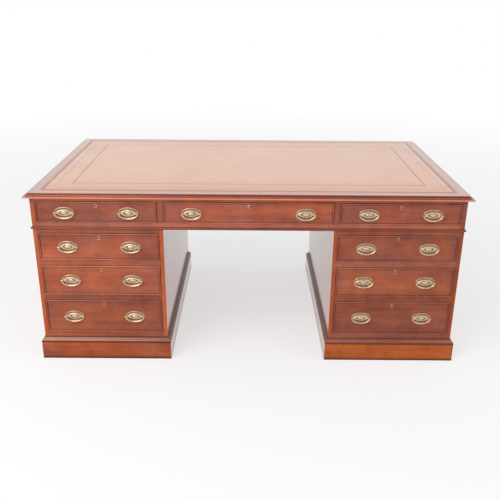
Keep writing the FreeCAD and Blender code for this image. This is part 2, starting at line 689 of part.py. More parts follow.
def bail():
    """The swinging bow: half an ellipse that swells to the middle, with a barrel and a pin at each end."""
    end = BAIL_SPAN / 2
    swell = BAIL_MIDDLE_RADIUS - BAIL_END_RADIUS
    rings = []
    for step in range(BAIL_STEPS + 1):
        angle = math.pi * step / BAIL_STEPS
        across = math.sin(angle)
        along = math.cos(angle)
        ring = Part.Wire(Part.makeCircle(BAIL_END_RADIUS + swell * across))
        ring.rotate(ORIGIN, Y_AXIS, math.degrees(math.atan2(end * across, -BAIL_DROP * along)))
        ring.translate(vector(-end * along, -POST_REACH, -BAIL_DROP * across))
        rings.append(ring)
    bow = Part.makeLoft(rings, True, True)
    inner = POST_SPACING / 2 + POST_RADIUS - PIN_INSERT
    for side in (-1, 1):
        tip = vector(side * end, -POST_REACH, 0)
        barrel = Part.makeCylinder(BAIL_BARREL, 2 * BAIL_BARREL, tip - X_AXIS * BAIL_BARREL, X_AXIS)
        pin = Part.makeCylinder(PIN_RADIUS, end - inner, tip, X_AXIS * -side)
        bow = bow.fuse([barrel, pin])
    return bow.removeSplitter().Solids[0]


def main():
    nodes = {
        "top_border": top_border(),
        "top_ground_panel": ground_panel(),
        "leather_top": leather(),
        "frieze_case": frieze_case(),
        "frieze_rails": frieze_rails(),
        "frieze_runners": frieze_runners(),
        "frieze_bead": frieze_bead(),
    }
    pedestal = {
        "pedestal_case": pedestal_case(),
        "pedestal_runners": pedestal_runners(),
        "pedestal_back": pedestal_back(),
        "plinth": plinth(),
    }
    for side, x in (("left", -PEDESTAL_X), ("right", PEDESTAL_X)):
        for name, pieces in pedestal.items():
            nodes[f"{side}_{name}"] = [moved(piece, x=x) for piece in pieces]

    made = {}
    for name, x, z, *size in DRAWERS:
        size = tuple(size)
        if size not in made:
            made[size] = drawer_pieces(*size)
        place = {"x": x, "y": FACE_Y, "z": z + DRAWER_RUN_GAP}
        front, box, fittings, bails = made[size]
        nodes[f"{name}_front"] = [moved(piece, **place) for piece in front]
        nodes[f"{name}_box"] = [moved(piece, **place) for piece in box]
        nodes[f"{name}_fittings"] = [moved(piece, **place) for piece in fittings]
        nodes[f"{name}_handle_left"] = [moved(bails[0], **place)]
        nodes[f"{name}_handle_right"] = [moved(bails[1], **place)]

    os.makedirs("parts", exist_ok=True)
    for name, pieces in nodes.items():
        shape = pieces[0] if len(pieces) == 1 else Part.makeCompound(pieces)
        shape.exportStep(f"parts/{name}.step")
        bad = [index for index, piece in enumerate(pieces) if not piece.isValid() or piece.Volume <= 0]
        print(name, len(pieces), "solids, not valid:", bad or "none")
    print("nodes", len(nodes), "height", DESK_HEIGHT, "kneehole", KNEEHOLE)


if __name__ == "__main__":
    main()
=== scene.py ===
# %% [markdown]
# # A mahogany pedestal desk
#
# The desk has a leather-lined top, a frieze with three drawers, and two pedestals with three drawers each.
# The CAD model already holds every board at its real place, so this lesson only dresses it. Boards whose
# edges catch the light are made again with softened arrises, the brass is turned and swept afresh, and every
# surface gets a finish built from nodes. Everything is in metres, in the frame of the CAD model.

# %% Load the frame and keep its box
import math

import bmesh
import bpy
import numpy as np
from mathutils import Matrix, Vector


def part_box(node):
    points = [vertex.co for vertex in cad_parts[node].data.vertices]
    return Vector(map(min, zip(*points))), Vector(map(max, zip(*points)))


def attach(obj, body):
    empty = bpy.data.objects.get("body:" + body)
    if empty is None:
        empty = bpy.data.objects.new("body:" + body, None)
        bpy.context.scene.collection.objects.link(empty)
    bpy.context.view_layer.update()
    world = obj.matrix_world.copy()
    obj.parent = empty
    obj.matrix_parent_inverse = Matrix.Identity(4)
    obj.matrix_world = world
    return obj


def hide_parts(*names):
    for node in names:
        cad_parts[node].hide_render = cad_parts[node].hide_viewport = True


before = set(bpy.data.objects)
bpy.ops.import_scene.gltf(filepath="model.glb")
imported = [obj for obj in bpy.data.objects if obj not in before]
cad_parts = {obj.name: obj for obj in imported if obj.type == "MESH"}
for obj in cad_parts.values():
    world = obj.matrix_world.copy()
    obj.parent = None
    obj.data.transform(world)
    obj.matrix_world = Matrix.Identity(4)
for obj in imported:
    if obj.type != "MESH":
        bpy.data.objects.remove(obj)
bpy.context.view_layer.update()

MM = 0.001
X_AXIS, Y_AXIS, Z_AXIS = np.eye(3)

# %% [markdown]
# ## Measures
#
# Nothing is placed by eye. The box of a CAD node gives the corners of that piece, and a drawer front with its
# working gaps gives the opening that the rails and uprights leave for it. So each board can be worked out
# from its neighbours, as a joiner sets out a case from its drawers.

# %% Read the main planes from the frame
SIDE_GAP = 1.5 * MM
TOP_GAP = 1.5 * MM
RUN_GAP = 0.3 * MM
SIDES = ("left", "right")
DRAWERS = [name.removesuffix("_front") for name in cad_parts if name.endswith("_front")]


def corners(node):
    """The low and the high corner of a CAD node's box, as arrays."""
    return [np.array(corner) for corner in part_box(node)]


def opening(drawer):
    """The span in X and in Z of the hole that a drawer runs in: its front, grown by the working gaps."""
    low, high = corners(f"{drawer}_front")
    return (low[0] - SIDE_GAP, high[0] + SIDE_GAP), (low[2] - RUN_GAP, high[2] + TOP_GAP)


def about(middle, half):
    """The span that reaches as far to both sides of a middle."""
    return middle - half, middle + half


def whole_turn(count):
    """Equal angles, once round."""
    return np.linspace(0, 2 * np.pi, count, endpoint=False)


def grid(x, y, z):
    """Points from three arrays, each spread over the shape that they have together."""
    return np.stack(np.broadcast_arrays(x, y, z), axis=-1)


top_low, top_high = corners("top_border")
leather_low, leather_high = corners("leather_top")
rail_low, rail_high = corners("frieze_rails")
bead_low, bead_high = corners("frieze_bead")
case_low, case_high = corners("right_pedestal_case")
face_y, back_y, case_x = case_low[1], case_high[1], case_high[0]
print("drawers", len(DRAWERS), "face at", round(face_y, 4), "top at", round(top_high[2], 4))

# %% [markdown]
# ## Camera
#
# The photograph was taken from in front, a little above the top, with a normal lens. The place and tilt below
# come from fitting the straight edges of the front and the top, so the render has the same perspective. The
# lens is the focal length in pixels over the picture's width, times the sensor's width.

# %% Set the camera
PICTURE_PIXELS = 500
FOCAL_PIXELS = 657.3
SENSOR_MM = 36.0
CAMERA_PLACE = (1.4 * MM, -3071.9 * MM, 1534.3 * MM)
CAMERA_PITCH = -0.3778
CAMERA_YAW = -0.0020
CAMERA_ROLL = 0.0081


def put(name, data):
    """A new object in the scene."""
    made = bpy.data.objects.new(name, data)
    bpy.context.scene.collection.objects.link(made)
    return made


camera_data = bpy.data.cameras.new("camera")
camera_data.sensor_width = SENSOR_MM
camera_data.lens = FOCAL_PIXELS / PICTURE_PIXELS * SENSOR_MM
camera = put("camera", camera_data)
camera.matrix_world = (
    Matrix.Translation(CAMERA_PLACE)
    @ Matrix.Rotation(CAMERA_YAW, 4, "Z")
    @ Matrix.Rotation(math.pi / 2 + CAMERA_PITCH, 4, "X")
    @ Matrix.Rotation(CAMERA_ROLL, 4, "Z")
)
bpy.context.scene.camera = camera
bpy.context.scene.view_settings.view_transform = "Standard"
print("lens", round(camera_data.lens, 2), "mm")

# %% [markdown]
# ## A finish under construction
#
# A finish in Blender is a graph of nodes. This small helper makes a node, sets its options, and then sets or
# joins its inputs: another node's output becomes a link, and anything else the socket's own value.

# %% The finish helper


class Finish:
    """The nodes of a material or a world, with short ways to mix, ramp and calculate."""

    def __init__(self, name, blocks=bpy.data.materials):
        self.block = blocks.new(name)
        self.block.use_nodes = True
        self.tree = self.block.node_tree
        self.tree.nodes.clear()

    def add(self, kind, inputs=None, **options):
        made = self.tree.nodes.new("ShaderNode" + kind)
        for option, value in options.items():
            setattr(made, option, value)
        for key, value in (inputs or {}).items():
            socket = made.inputs[key]
            if isinstance(value, bpy.types.NodeSocket):
                self.tree.links.new(value, socket)
            else:
                socket.default_value = value
        return made

    def here(self):
        return self.add("TexCoord").outputs["Object"]

    def attribute(self, name):
        return self.add("Attribute", attribute_name=name).outputs["Fac"]

    def math(self, operation, first, second=0.0, third=0.0):
        return self.add("Math", {0: first, 1: second, 2: third}, operation=operation).outputs[0]

    def mix(self, factor, first, second, blend="MIX"):
        made = self.add("Mix", {0: factor, 6: first, 7: second}, data_type="RGBA", blend_type=blend)
        return made.outputs[2]

    def spread(self, value, low, high, to_low=0.0, to_high=1.0):
        """A value carried from one span to another and held at its ends."""
        return self.add("MapRange", {0: value, 1: low, 2: high, 3: to_low, 4: to_high}).outputs[0]

    def ramp(self, factor, *stops):
        made = self.add("ValToRGB", {0: factor})
        ramp = made.color_ramp
        while len(ramp.elements) < len(stops):
            ramp.elements.new(1.0)
        for element, (place, colour) in zip(ramp.elements, stops):
            element.position = place
            element.color = (*colour, 1.0)
        return made.outputs[0]

    def noise(self, place, scale, detail=2.0, roughness=0.5, distortion=0.0):
        inputs = {"Scale": scale, "Detail": detail, "Roughness": roughness, "Distortion": distortion}
        return self.add("TexNoise", {"Vector": place, **inputs}).outputs[0]

    def bump(self, height, strength, distance):
        return self.add("Bump", {"Height": height, "Strength": strength, "Distance": distance}).outputs[0]

    def seen(self):
        """One for the rays by which the camera sees, straight, mirrored or through glass, else zero."""
        rays = self.add("LightPath").outputs
        straight = self.math("MAXIMUM", rays["Is Camera Ray"], rays["Is Glossy Ray"])
        return self.math("MAXIMUM", straight, rays["Is Transmission Ray"])

    def done(self, shader, output="OutputMaterial"):
        self.add(output, {0: shader.outputs[0]})
        return self.block


print("finish helper ready")

# %% [markdown]
# ## Floor and light
#
# The desk stands on a plain pale floor that fades to white, under the soft light of a white room. The world
# lights it from all sides, one large lamp to the front left gives the forms a soft side, and the floor keeps
# the shadow. To the camera, and in the polish and the brass, the world is plain white.

# %% Lay the floor
WHITE = (1, 1, 1, 1)
FLOOR_RADIUS = 14.0
FLOOR_SIDES = 96
FLOOR_COLOUR = (0.86, 0.86, 0.865, 1)
FLOOR_GLOW = 0.62
GLOW_NEAR = 2.0
GLOW_FAR = 6.0


def floor_material():
    """Matt white that keeps the shadow: part of what is seen is lit by the room, and part is plain white.

    The white part grows with the distance to the middle, so the floor ends as the white behind it.
    """
    finish = Finish("studio_floor")
    distance = finish.add("VectorMath", {0: finish.here()}, operation="LENGTH").outputs["Value"]
    whiter = finish.spread(distance, GLOW_NEAR, GLOW_FAR, FLOOR_GLOW, 1.0)
    lit = finish.add("BsdfDiffuse", {"Color": FLOOR_COLOUR})
    white = finish.add("Emission", {"Color": WHITE, "Strength": 1.0})
    glow = finish.math("MULTIPLY", finish.seen(), whiter)
    return finish.done(finish.add("MixShader", {0: glow, 1: lit.outputs[0], 2: white.outputs[0]}))


def floor_mesh():
    """A round floor: each corner is the radius times the cosine and the sine of its share of a turn."""
    angle = whole_turn(FLOOR_SIDES)
    points = FLOOR_RADIUS * grid(np.cos(angle), np.sin(angle), 0.0)
    mesh = bpy.data.meshes.new("studio_floor")
    mesh.from_pydata(points.tolist(), [], [list(range(FLOOR_SIDES))])
    return mesh


floor = put("studio_floor", floor_mesh())
floor.data.materials.append(floor_material())
print("floor", FLOOR_RADIUS, "m round")

# %% Light the room
AMBIENT = 0.66
LAMPS = (
    ("key_lamp", (-2.4, -3.0, 3.4), 3.2, 130.0),
    ("fill_lamp", (3.0, -1.6, 2.8), 2.6, 22.0),
)
LAMP_AIM = Vector((0.0, 0.0, 0.5))

room = Finish("white_room", bpy.data.worlds)
strength = room.spread(room.seen(), 0.0, 1.0, AMBIENT, 1.0)
bpy.context.scene.world = room.done(
    room.add("Background", {"Color": WHITE, "Strength": strength}), "OutputWorld")

for name, place, size, power in LAMPS:
    lamp_data = bpy.data.lights.new(name, "AREA")
    lamp_data.size = size
    lamp_data.energy = power
    lamp = put(name, lamp_data)
    facing = (LAMP_AIM - Vector(place)).to_track_quat("-Z", "Y")
    lamp.matrix_world = Matrix.Translation(place) @ facing.to_matrix().to_4x4()
print("lamps", len(LAMPS), "ambient", AMBIENT)

# %% [markdown]
# ## Mahogany
#
# Mahogany is a red-brown wood with soft stripes, fine darker lines and short open pores, all drawn out along
# the grain. Noise that is stretched along one axis gives all three, each at its own width. Reading the
# object's own coordinates makes the figure run through the board as real wood does, and each drawer front
# takes its own piece of the tree by moving the pattern. A thin clear coat stands for the polish.

# %% The figure, colours and polishes of mahogany
STRETCH = {"X": (0.07, 1, 1), "Y": (1, 0.07, 1), "Z": (1, 1, 0.07)}
# Noise: scale, detail, roughness and distortion
STRIPES = (8.0, 2.0, 0.5, 0.8)
LINES = (60.0, 3.0, 0.6, 0.3)
HAIRS = (420.0, 3.0, 0.6)
PORES = (1300.0, 1.0)
MOTTLE = (13.0, 3.0, 0.55, 0.5)
DRIFT = (6.0, 2.0, 0.5, 0.4)
# How much stripes, lines, hairs and mottle each give to the figure, and where its three colours lie
FIGURE_SHARES = (0.42, 0.18, 0.14, 0.26)
FIGURE_STOPS = (0.36, 0.50, 0.66)
FIGURE_MIDDLE = 0.5
MAHOGANY_COLOURS = np.array([(0.185, 0.031, 0.010), (0.330, 0.067, 0.021), (0.470, 0.118, 0.040)])
PORE_COLOUR = (*MAHOGANY_COLOURS[0] * 0.6, 1)
PORE_SPAN = (0.60, 0.72)
PORE_DEPTH = 0.45
HAIR_HEIGHT = 0.6
BUMP_STRENGTH = 0.05
BUMP_DEPTH = 0.2 * MM
PLUM_TINT = (0.92, 1.12, 1.75, 1)
AMBER_TINT = (1.00, 1.15, 0.70, 1)
PLUM_SPAN = (0.42, 0.62)
PLUM_PLAY = 0.4
# The colour of painted shade in creases, quirks and gaps
PAINTED_SHADE = (0.055, 0.017, 0.008, 1)
# Two ends of a noise, and the roughness at each
WOOD_ROUGHNESS = (0.3, 0.7, 0.30, 0.42)
# Polishes: weight of the coat, specular level of the wood, and index of the coat
DRY = (0.2, 0.05, 1.5)
SATIN = (0.45, 0.15, 1.5)
CLEAR = (1.0, 0.1, 1.5)
SMOOTH = (1.0, 0.2, 1.5)
GLOSSY = (1.0, 0.8, 2.0)
MIRROR = (1.0, 1.0, 2.3)
print("polishes", DRY, SATIN, CLEAR, SMOOTH, GLOSSY, MIRROR)

# %% [markdown]
# A drawer front wears by its edges. It darkens towards them in patches, its upper and lower beads are
# painted paler as a highlight, and painted shade lies along its gap and inside its beads. All of it depends
# on how far a point is from the edges, which are those of the CAD node's box.

# %% The wear, painted highlight and painted shade of a drawer front
COCK_BEAD = 6.0 * MM
QUIRK_WIDTH = 2.6 * MM
# Painted shade in the quirk and along the gap
QUIRK_PAINTED_SHADE = 0.60
GAP_WIDTH = 1.2 * MM
GAP_PAINTED_SHADE = 0.30
EDGE_TINT = (0.74, 0.78, 1.15, 1)
EDGE_BLOOM = 0.9
BLOOM_WIDTH = 70 * MM
BLOOM_PATCHES = (0.3, 0.6, 0.3, 1.0)
# Painted highlight on the upper and lower beads
BEAD_HIGHLIGHT_TINT = (1.40, 1.80, 2.20, 1)
BEAD_HIGHLIGHT = 0.8


def edge_distance(finish, along, start, end):
    """How far a point of a drawer front is from the nearer of its two edges along an axis."""
    return finish.math("MINIMUM", finish.math("SUBTRACT", along, start), finish.math("SUBTRACT", end, along))


def front_wear_and_painted_light(finish, colour, here, drift, front):
    """The colour with its patchy dark edges, then its beads lightened as a painted highlight, then painted
    shade in the quirk and the gap.
    """
    low, high = front
    along = finish.add("SeparateXYZ", {0: here}).outputs
    from_rail = edge_distance(finish, along[2], low[2], high[2])
    edge = finish.math("MINIMUM", from_rail, edge_distance(finish, along[0], low[0], high[0]))
    patches = finish.spread(drift, *BLOOM_PATCHES)
    bloom = finish.math("MULTIPLY", finish.spread(edge, 0.0, BLOOM_WIDTH, EDGE_BLOOM, 0.0), patches)
    colour = finish.mix(bloom, colour, EDGE_TINT, "MULTIPLY")
    # Painted highlight: the upper and lower beads are made paler, as where they catch the light
    bead_highlight = finish.spread(from_rail, COCK_BEAD - QUIRK_WIDTH, COCK_BEAD, BEAD_HIGHLIGHT, 0.0)
    colour = finish.mix(bead_highlight, colour, BEAD_HIGHLIGHT_TINT, "MULTIPLY")
    # Painted shade: darker in the quirk inside the bead and along the gap round the front
    from_quirk = finish.math("ABSOLUTE", finish.math("SUBTRACT", edge, COCK_BEAD + QUIRK_WIDTH / 4))
    quirk = finish.spread(from_quirk, QUIRK_WIDTH / 4, QUIRK_WIDTH, QUIRK_PAINTED_SHADE, 0.0)
    gap = finish.spread(edge, GAP_WIDTH / 3, GAP_WIDTH, GAP_PAINTED_SHADE, 0.0)
    return finish.mix(finish.math("MAXIMUM", quirk, gap), colour, PAINTED_SHADE)


print("wear reaches", BLOOM_WIDTH, "m in from a front's edges")

# %% [markdown]
# Every board has its own tone, as boards from several logs do. So one function makes the wood, and a table
# says how each board differs. The mouldings also carry a number for painted shade in their creases, which
# darkens the colour and thins the coat there.

# %% Mix the mahogany
# Grain, tone, plum, figured and polish
BOARD_WOODS = {
    "mahogany_along_x": ("X", 1.08, 0.4, 1.0, SMOOTH),
    "mahogany_along_y": ("Y", 1.08, 0.4, 1.0, SATIN),
    "mahogany_along_z": ("Z", 1.20, 0.4, 0.6, CLEAR),
    "rail_mahogany": ("X", 0.95, 0.6, 1.0, SATIN),
    "frieze_rail_mahogany": ("X", 1.35, 0.0, 1.0, SATIN),
    "left_stile_mahogany": ("Z", 1.22, 0.05, 0.8, DRY),
    "right_stile_mahogany": ("Z", 1.08, 0.05, 0.8, DRY),
    "partition_and_shaded_end_mahogany": ("Z", 0.90, 0.8, 1.0, SATIN),
}
MOULDING_WOODS = {
    "bead_mahogany_along_x": ("X", 1.00, 0.4, 1.0, SATIN),
    "bead_mahogany_along_y": ("Y", 1.00, 0.4, 1.0, SATIN),
    # The edge and the nose are darker along Y as painted shade on the sides, and the nose along X is lighter
    # as a painted highlight
    "edge_shaded_sides_mahogany_along_x": ("X", 1.12, -0.1, 1.0, SATIN),
    "edge_shaded_sides_mahogany_along_y": ("Y", 0.85, 0.4, 1.0, SATIN),
    # The swell is darker along Y as painted shade on the sides
    "swell_shaded_sides_mahogany_along_x": ("X", 0.90, 0.7, 1.0, SMOOTH),
    "swell_shaded_sides_mahogany_along_y": ("Y", 0.50, 0.7, 1.0, SATIN),
    "top_mahogany_along_x": ("X", 1.35, 0.0, 0.5, GLOSSY),
    "top_mahogany_along_y": ("Y", 1.00, 0.3, 0.5, MIRROR),
    "nose_painted_light_mahogany_along_x": ("X", 1.60, 0.5, 1.0, GLOSSY),
    "nose_painted_light_mahogany_along_y": ("Y", 0.85, 0.5, 1.0, SATIN),
    "panel_mahogany_along_z": ("Z", 1.20, 0.1, 1.0, SATIN),
    "left_plinth_along_x": ("X", 1.00, 0.5, 1.0, DRY),
    "left_plinth_along_y": ("Y", 1.20, 0.4, 0.6, CLEAR),
    "right_plinth_along_x": ("X", 1.26, -0.7, 1.0, DRY),
    "right_plinth_along_y": ("Y", 1.20, 0.4, 0.6, CLEAR),
}


def mahogany(name, grain, tone, plum, figured=1.0, polish=SATIN, moulded=False, moved=(0, 0, 0), front=None):
    """Polished mahogany: stripes, lines, hairs and pores of noise stretched along the grain, under a coat.

    Tone is how light it is, plum how far it leans to purple, or below zero to amber, and figured how lively
    the pattern is. A moulding is darkened by painted shade where its mark says, and a drawer front has its
    wear, with a painted highlight on its beads and painted shade in its quirk and gap.
    """
    finish = Finish(name)
    here = finish.here()
    drawn = finish.add("Mapping", {"Vector": here, "Location": moved, "Scale": STRETCH[grain]}).outputs[0]
    stripes, lines, hairs, pores = (finish.noise(drawn, *layer) for layer in (STRIPES, LINES, HAIRS, PORES))
    mottle, drift = (finish.noise(here, *layer) for layer in (MOTTLE, DRIFT))
    pores = finish.spread(pores, *PORE_SPAN)
    figure = 0.0
    for layer, share in zip((stripes, lines, hairs, mottle), FIGURE_SHARES):
        figure = finish.math("MULTIPLY_ADD", layer, share, figure)
    figure = finish.math("MULTIPLY_ADD", figure, figured, FIGURE_MIDDLE * (1 - figured))
    colour = finish.ramp(figure, *zip(FIGURE_STOPS, MAHOGANY_COLOURS * tone))
    colour = finish.mix(finish.math("MULTIPLY", pores, PORE_DEPTH * figured), colour, PORE_COLOUR)
    hue = finish.spread(drift, *PLUM_SPAN, max(0.0, plum - PLUM_PLAY), min(1.0, plum + PLUM_PLAY))
    colour = finish.mix(hue, colour, PLUM_TINT, "MULTIPLY")
    if plum < 0:
        colour = finish.mix(-plum, colour, AMBER_TINT, "MULTIPLY")
    coat, specular, coat_ior = polish
    if moulded:
        # Painted shade: a darker colour and a thinner coat in the creases
        painted_shade = finish.attribute("painted_shade")
        colour = finish.mix(painted_shade, colour, PAINTED_SHADE)
        coat = finish.math("MULTIPLY", finish.math("SUBTRACT", 1.0, painted_shade), coat)
    if front is not None:
        colour = front_wear_and_painted_light(finish, colour, here, drift, front)
    height = finish.math("SUBTRACT", finish.math("MULTIPLY", hairs, HAIR_HEIGHT), pores)
    return finish.done(finish.add("BsdfPrincipled", {
        "Base Color": colour,
        "Roughness": finish.spread(lines, *WOOD_ROUGHNESS),
        "Normal": finish.bump(height, BUMP_STRENGTH * figured, BUMP_DEPTH),
        "Specular IOR Level": specular,
        "Coat Weight": coat,
        "Coat Roughness": 0.1,
        "Coat IOR": coat_ior,
    }))


def woods(*names):
    """The finishes of a piece, in the order of their numbers."""
    return [wood[name] for name in names]


def both_ways(kind):
    """The two woods of a frame: along X for its front and back, along Y for its sides."""
    return woods(f"{kind}_along_x", f"{kind}_along_y")


wood = {name: mahogany(name, *values) for name, values in BOARD_WOODS.items()}
wood |= {name: mahogany(name, *values, moulded=True) for name, values in MOULDING_WOODS.items()}
print("mahogany finishes", len(wood))

# %% [markdown]
# ## Leather, brass and the plain woods
#
# The writing surface is a pale tan hide, a little uneven in colour and darkened where the lines are tooled.
# The brass is old: bright on the raised parts that hands rub, dull and brown in the hollows. Each brass
# piece carries a number called patina that says how deep in a hollow a point lies, because no node can tell
# that from the outside. The drawer linings are oak, and the hidden runners are pine.

# %% Mix the leather
LEATHER_PALE = (0.665, 0.365, 0.245, 1)
LEATHER_WARM = (0.610, 0.300, 0.175, 1)
LEATHER_FRONT_BAND = (0.560, 0.245, 0.100, 1)
LEATHER_TOOLED = (0.110, 0.034, 0.022, 1)
FRONT_BAND_DEPTH = 0.20
FRONT_BAND_SHARE = 0.9
HIDE_CLOUDS = (2.6, 4.0, 0.6)
HIDE_SPECKS = (60.0, 3.0, 0.6)
CLOUD_SPAN = (0.35, 0.68)
SPECK_SPAN = (0.45, 0.75, 0.0, 0.22)
HIDE_ROUGHNESS = (0.3, 0.7, 0.40, 0.52)
HIDE_BUMP = (0.12, 0.3 * MM)
HIDE_COAT = 0.85


def hide():
    """Pale hide: broad warm clouds, browner towards the front edge, fine cells for the grain, dark tooled
    lines.
    """
    finish = Finish("tan_hide")
    here = finish.here()
    clouds, specks = finish.noise(here, *HIDE_CLOUDS), finish.noise(here, *HIDE_SPECKS)
    colour = finish.mix(finish.spread(clouds, *CLOUD_SPAN), LEATHER_PALE, LEATHER_WARM)
    colour = finish.mix(finish.spread(specks, *SPECK_SPAN), colour, LEATHER_WARM)
    depth = finish.add("SeparateXYZ", {0: here}).outputs[1]
    front_band = finish.spread(depth, leather_low[1], leather_low[1] + FRONT_BAND_DEPTH, FRONT_BAND_SHARE, 0.0)
    colour = finish.mix(front_band, colour, LEATHER_FRONT_BAND)
    tooling = finish.attribute("tooling")
    cells = finish.add("TexVoronoi", {"Vector": here, "Scale": 620.0}).outputs["Distance"]
    return finish.done(finish.add("BsdfPrincipled", {
        "Base Color": finish.mix(tooling, colour, LEATHER_TOOLED),
        "Roughness": finish.spread(specks, *HIDE_ROUGHNESS),
        "Normal": finish.bump(cells, *HIDE_BUMP),
        "Coat Weight": finish.math("MULTIPLY", finish.math("SUBTRACT", 1.0, tooling), HIDE_COAT),
        "Coat Roughness": 0.2,
    }))


leather_finish = hide()
print("leather", leather_finish.name)

# %% Mix the brass
BRASS_BROWN = (0.095, 0.062, 0.032, 1)
# Bright and dull
PLAIN_BRASS = ((0.740, 0.530, 0.372, 1), (0.460, 0.305, 0.180, 1))
KEYHOLE_BRASS = ((0.760, 0.380, 0.210, 1), (0.520, 0.240, 0.125, 1))
BRASS_CLOUDS = (70.0, 4.0, 0.65)
BRASS_SPECKS = (900.0, 2.0, 0.6)
DULL_SPAN = (0.42, 0.75)
BRASS_ROUGHNESS = (0.3, 0.8, 0.16, 0.38)
PATINA_ROUGHNESS = 0.25
BRASS_BUMP = (0.06, 0.1 * MM)


def aged_brass(name, bright, dull):
    """Rubbed brass: bright metal, dulled in clouds, with brown patina in the hollows."""
    finish = Finish(name)
    here = finish.here()
    clouds, specks = finish.noise(here, *BRASS_CLOUDS), finish.noise(here, *BRASS_SPECKS)
    patina = finish.attribute("patina")
    colour = finish.mix(finish.spread(clouds, *DULL_SPAN), bright, dull)
    roughness = finish.spread(clouds, *BRASS_ROUGHNESS)
    return finish.done(finish.add("BsdfPrincipled", {
        "Base Color": finish.mix(patina, colour, BRASS_BROWN),
        "Metallic": 1.0,
        "Roughness": finish.math("MULTIPLY_ADD", patina, PATINA_ROUGHNESS, roughness),
        "Normal": finish.bump(specks, *BRASS_BUMP),
    }))


brass = aged_brass("aged_brass", *PLAIN_BRASS)
keyhole_brass = aged_brass("keyhole_brass", *KEYHOLE_BRASS)
print("brass", brass.name, keyhole_brass.name)

# %% Mix the plain woods
# Dark, light and scale of the stripes
OAK = ((0.270, 0.150, 0.066), (0.480, 0.310, 0.160), 34.0)
PINE = ((0.380, 0.205, 0.085), (0.600, 0.390, 0.195), 22.0)
PLAIN_STRIPES = (4.0, 0.6, 0.4)
PLAIN_FIBRES = (2.0, 0.6)
FIBRES_PER_STRIPE = 14
STRIPE_SHARE = 0.7
PLAIN_STOPS = (0.36, 0.66)
PLAIN_ROUGHNESS = (0.3, 0.7, 0.55, 0.75)
PLAIN_BUMP = (0.15, 0.2 * MM)


def plain_wood(name, dark, light, scale):
    """Unpolished wood along Y: broad and fine stripes of stretched noise between two colours."""
    finish = Finish(name)
    drawn = finish.add("Mapping", {"Vector": finish.here(), "Scale": STRETCH["Y"]}).outputs[0]
    stripes = finish.noise(drawn, scale, *PLAIN_STRIPES)
    fibres = finish.noise(drawn, scale * FIBRES_PER_STRIPE, *PLAIN_FIBRES)
    fine = finish.math("MULTIPLY", fibres, 1 - STRIPE_SHARE)
    figure = finish.math("MULTIPLY_ADD", stripes, STRIPE_SHARE, fine)
    return finish.done(finish.add("BsdfPrincipled", {
        "Base Color": finish.ramp(figure, *zip(PLAIN_STOPS, (dark, light))),
        "Roughness": finish.spread(fibres, *PLAIN_ROUGHNESS),
        "Normal": finish.bump(fibres, *PLAIN_BUMP),
    }))


oak = plain_wood("oak_lining", *OAK)
pine = plain_wood("pine_inside", *PINE)
print("finishes", len(bpy.data.materials))

# %% [markdown]
# ## From arrays to meshes
#
# Each new piece is one or more closed shells worked out with numpy. A shell is a grid of points, joined up by
# quads, with a flat face over each open end. The helper below puts the shells of a piece into one mesh, turns
# the faces outwards, marks the sharp edges and lets the large faces rule the shading.

# %% The shell and piece helpers
SHARP_ANGLE = math.radians(32)


def shell(points, wrap_rows=False, finish=0, mark=0.0):
    """A closed shell from rings of points: point [i, j] is the j-th of ring i.

    Each ring closes on itself. The rings follow each other, and either join up or end in a flat face.
    The finish is a number for each step round a ring, and the mark, such as dirt, for each point. Fewer
    numbers are spread over the grid.
    """
    rings, sides = points.shape[:2]
    index = np.arange(rings * sides).reshape(rings, sides)
    after = np.roll(index, -1, axis=1)
    quads = np.stack([index, after, np.roll(after, -1, axis=0), np.roll(index, -1, axis=0)], axis=-1)
    quads = quads if wrap_rows else quads[:-1]
    faces = quads.reshape(-1, 4).tolist()
    kinds = np.broadcast_to(finish, quads.shape[:2]).reshape(-1)
    if not wrap_rows:
        faces += [index[0, ::-1].tolist(), index[-1].tolist()]
        kinds = np.append(kinds, [kinds[0], kinds[0]])
    marks = np.broadcast_to(mark, (rings, sides)).reshape(-1)
    return {"points": points.reshape(-1, 3), "faces": faces, "kinds": kinds, "marks": marks}


def make_piece(name, shells, finishes, replaced, attribute=None, body="carcase"):
    """Joins shells into one object, gives it its finishes, and fixes it to its body in the frame."""
    starts = np.cumsum([0] + [len(part["points"]) for part in shells])
    faces = [
        [corner + start for corner in face]
        for part, start in zip(shells, starts) for face in part["faces"]]
    points, kinds, marks = (
        np.concatenate([part[key] for part in shells]) for key in ("points", "kinds", "marks"))
    mesh = bpy.data.meshes.new(name)
    mesh.from_pydata(points.tolist(), [], faces)
    mesh.polygons.foreach_set("material_index", kinds.astype(np.int32))
    mesh.polygons.foreach_set("use_smooth", np.ones(len(faces), bool))
    if attribute:
        mesh.attributes.new(attribute, "FLOAT", "POINT").data.foreach_set("value", marks.astype(np.float32))
    outward = bmesh.new()
    outward.from_mesh(mesh)
    bmesh.ops.recalc_face_normals(outward, faces=outward.faces)
    outward.to_mesh(mesh)
    outward.free()
    mesh.set_sharp_from_angle(angle=SHARP_ANGLE)
    for finish in finishes:
        mesh.materials.append(finish)
    piece = put(name, mesh)
    piece.modifiers.new("large_faces_rule", "WEIGHTED_NORMAL").keep_sharp = True
    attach(piece, body)
    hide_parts(*replaced)
    print(name, len(mesh.vertices), "points,", len(shells), "shells")
    return piece


# %% [markdown]
# ## Boards
#
# A real board never has a knife edge: the arris is taken off with a plane or wears away. So a board here is a
# box whose edges are rolled over by a small radius. Every point is a corner of a smaller box, pushed out by
# the radius in its own direction. The directions of one corner cover an eighth of a ball, and the flat faces
# are the quads that span from one corner to the next.

# %% The board
ARRIS = 0.8 * MM
ARRIS_STEPS = 3
ARRIS_END = math.radians(75)
FACES_FRONT = -0.1


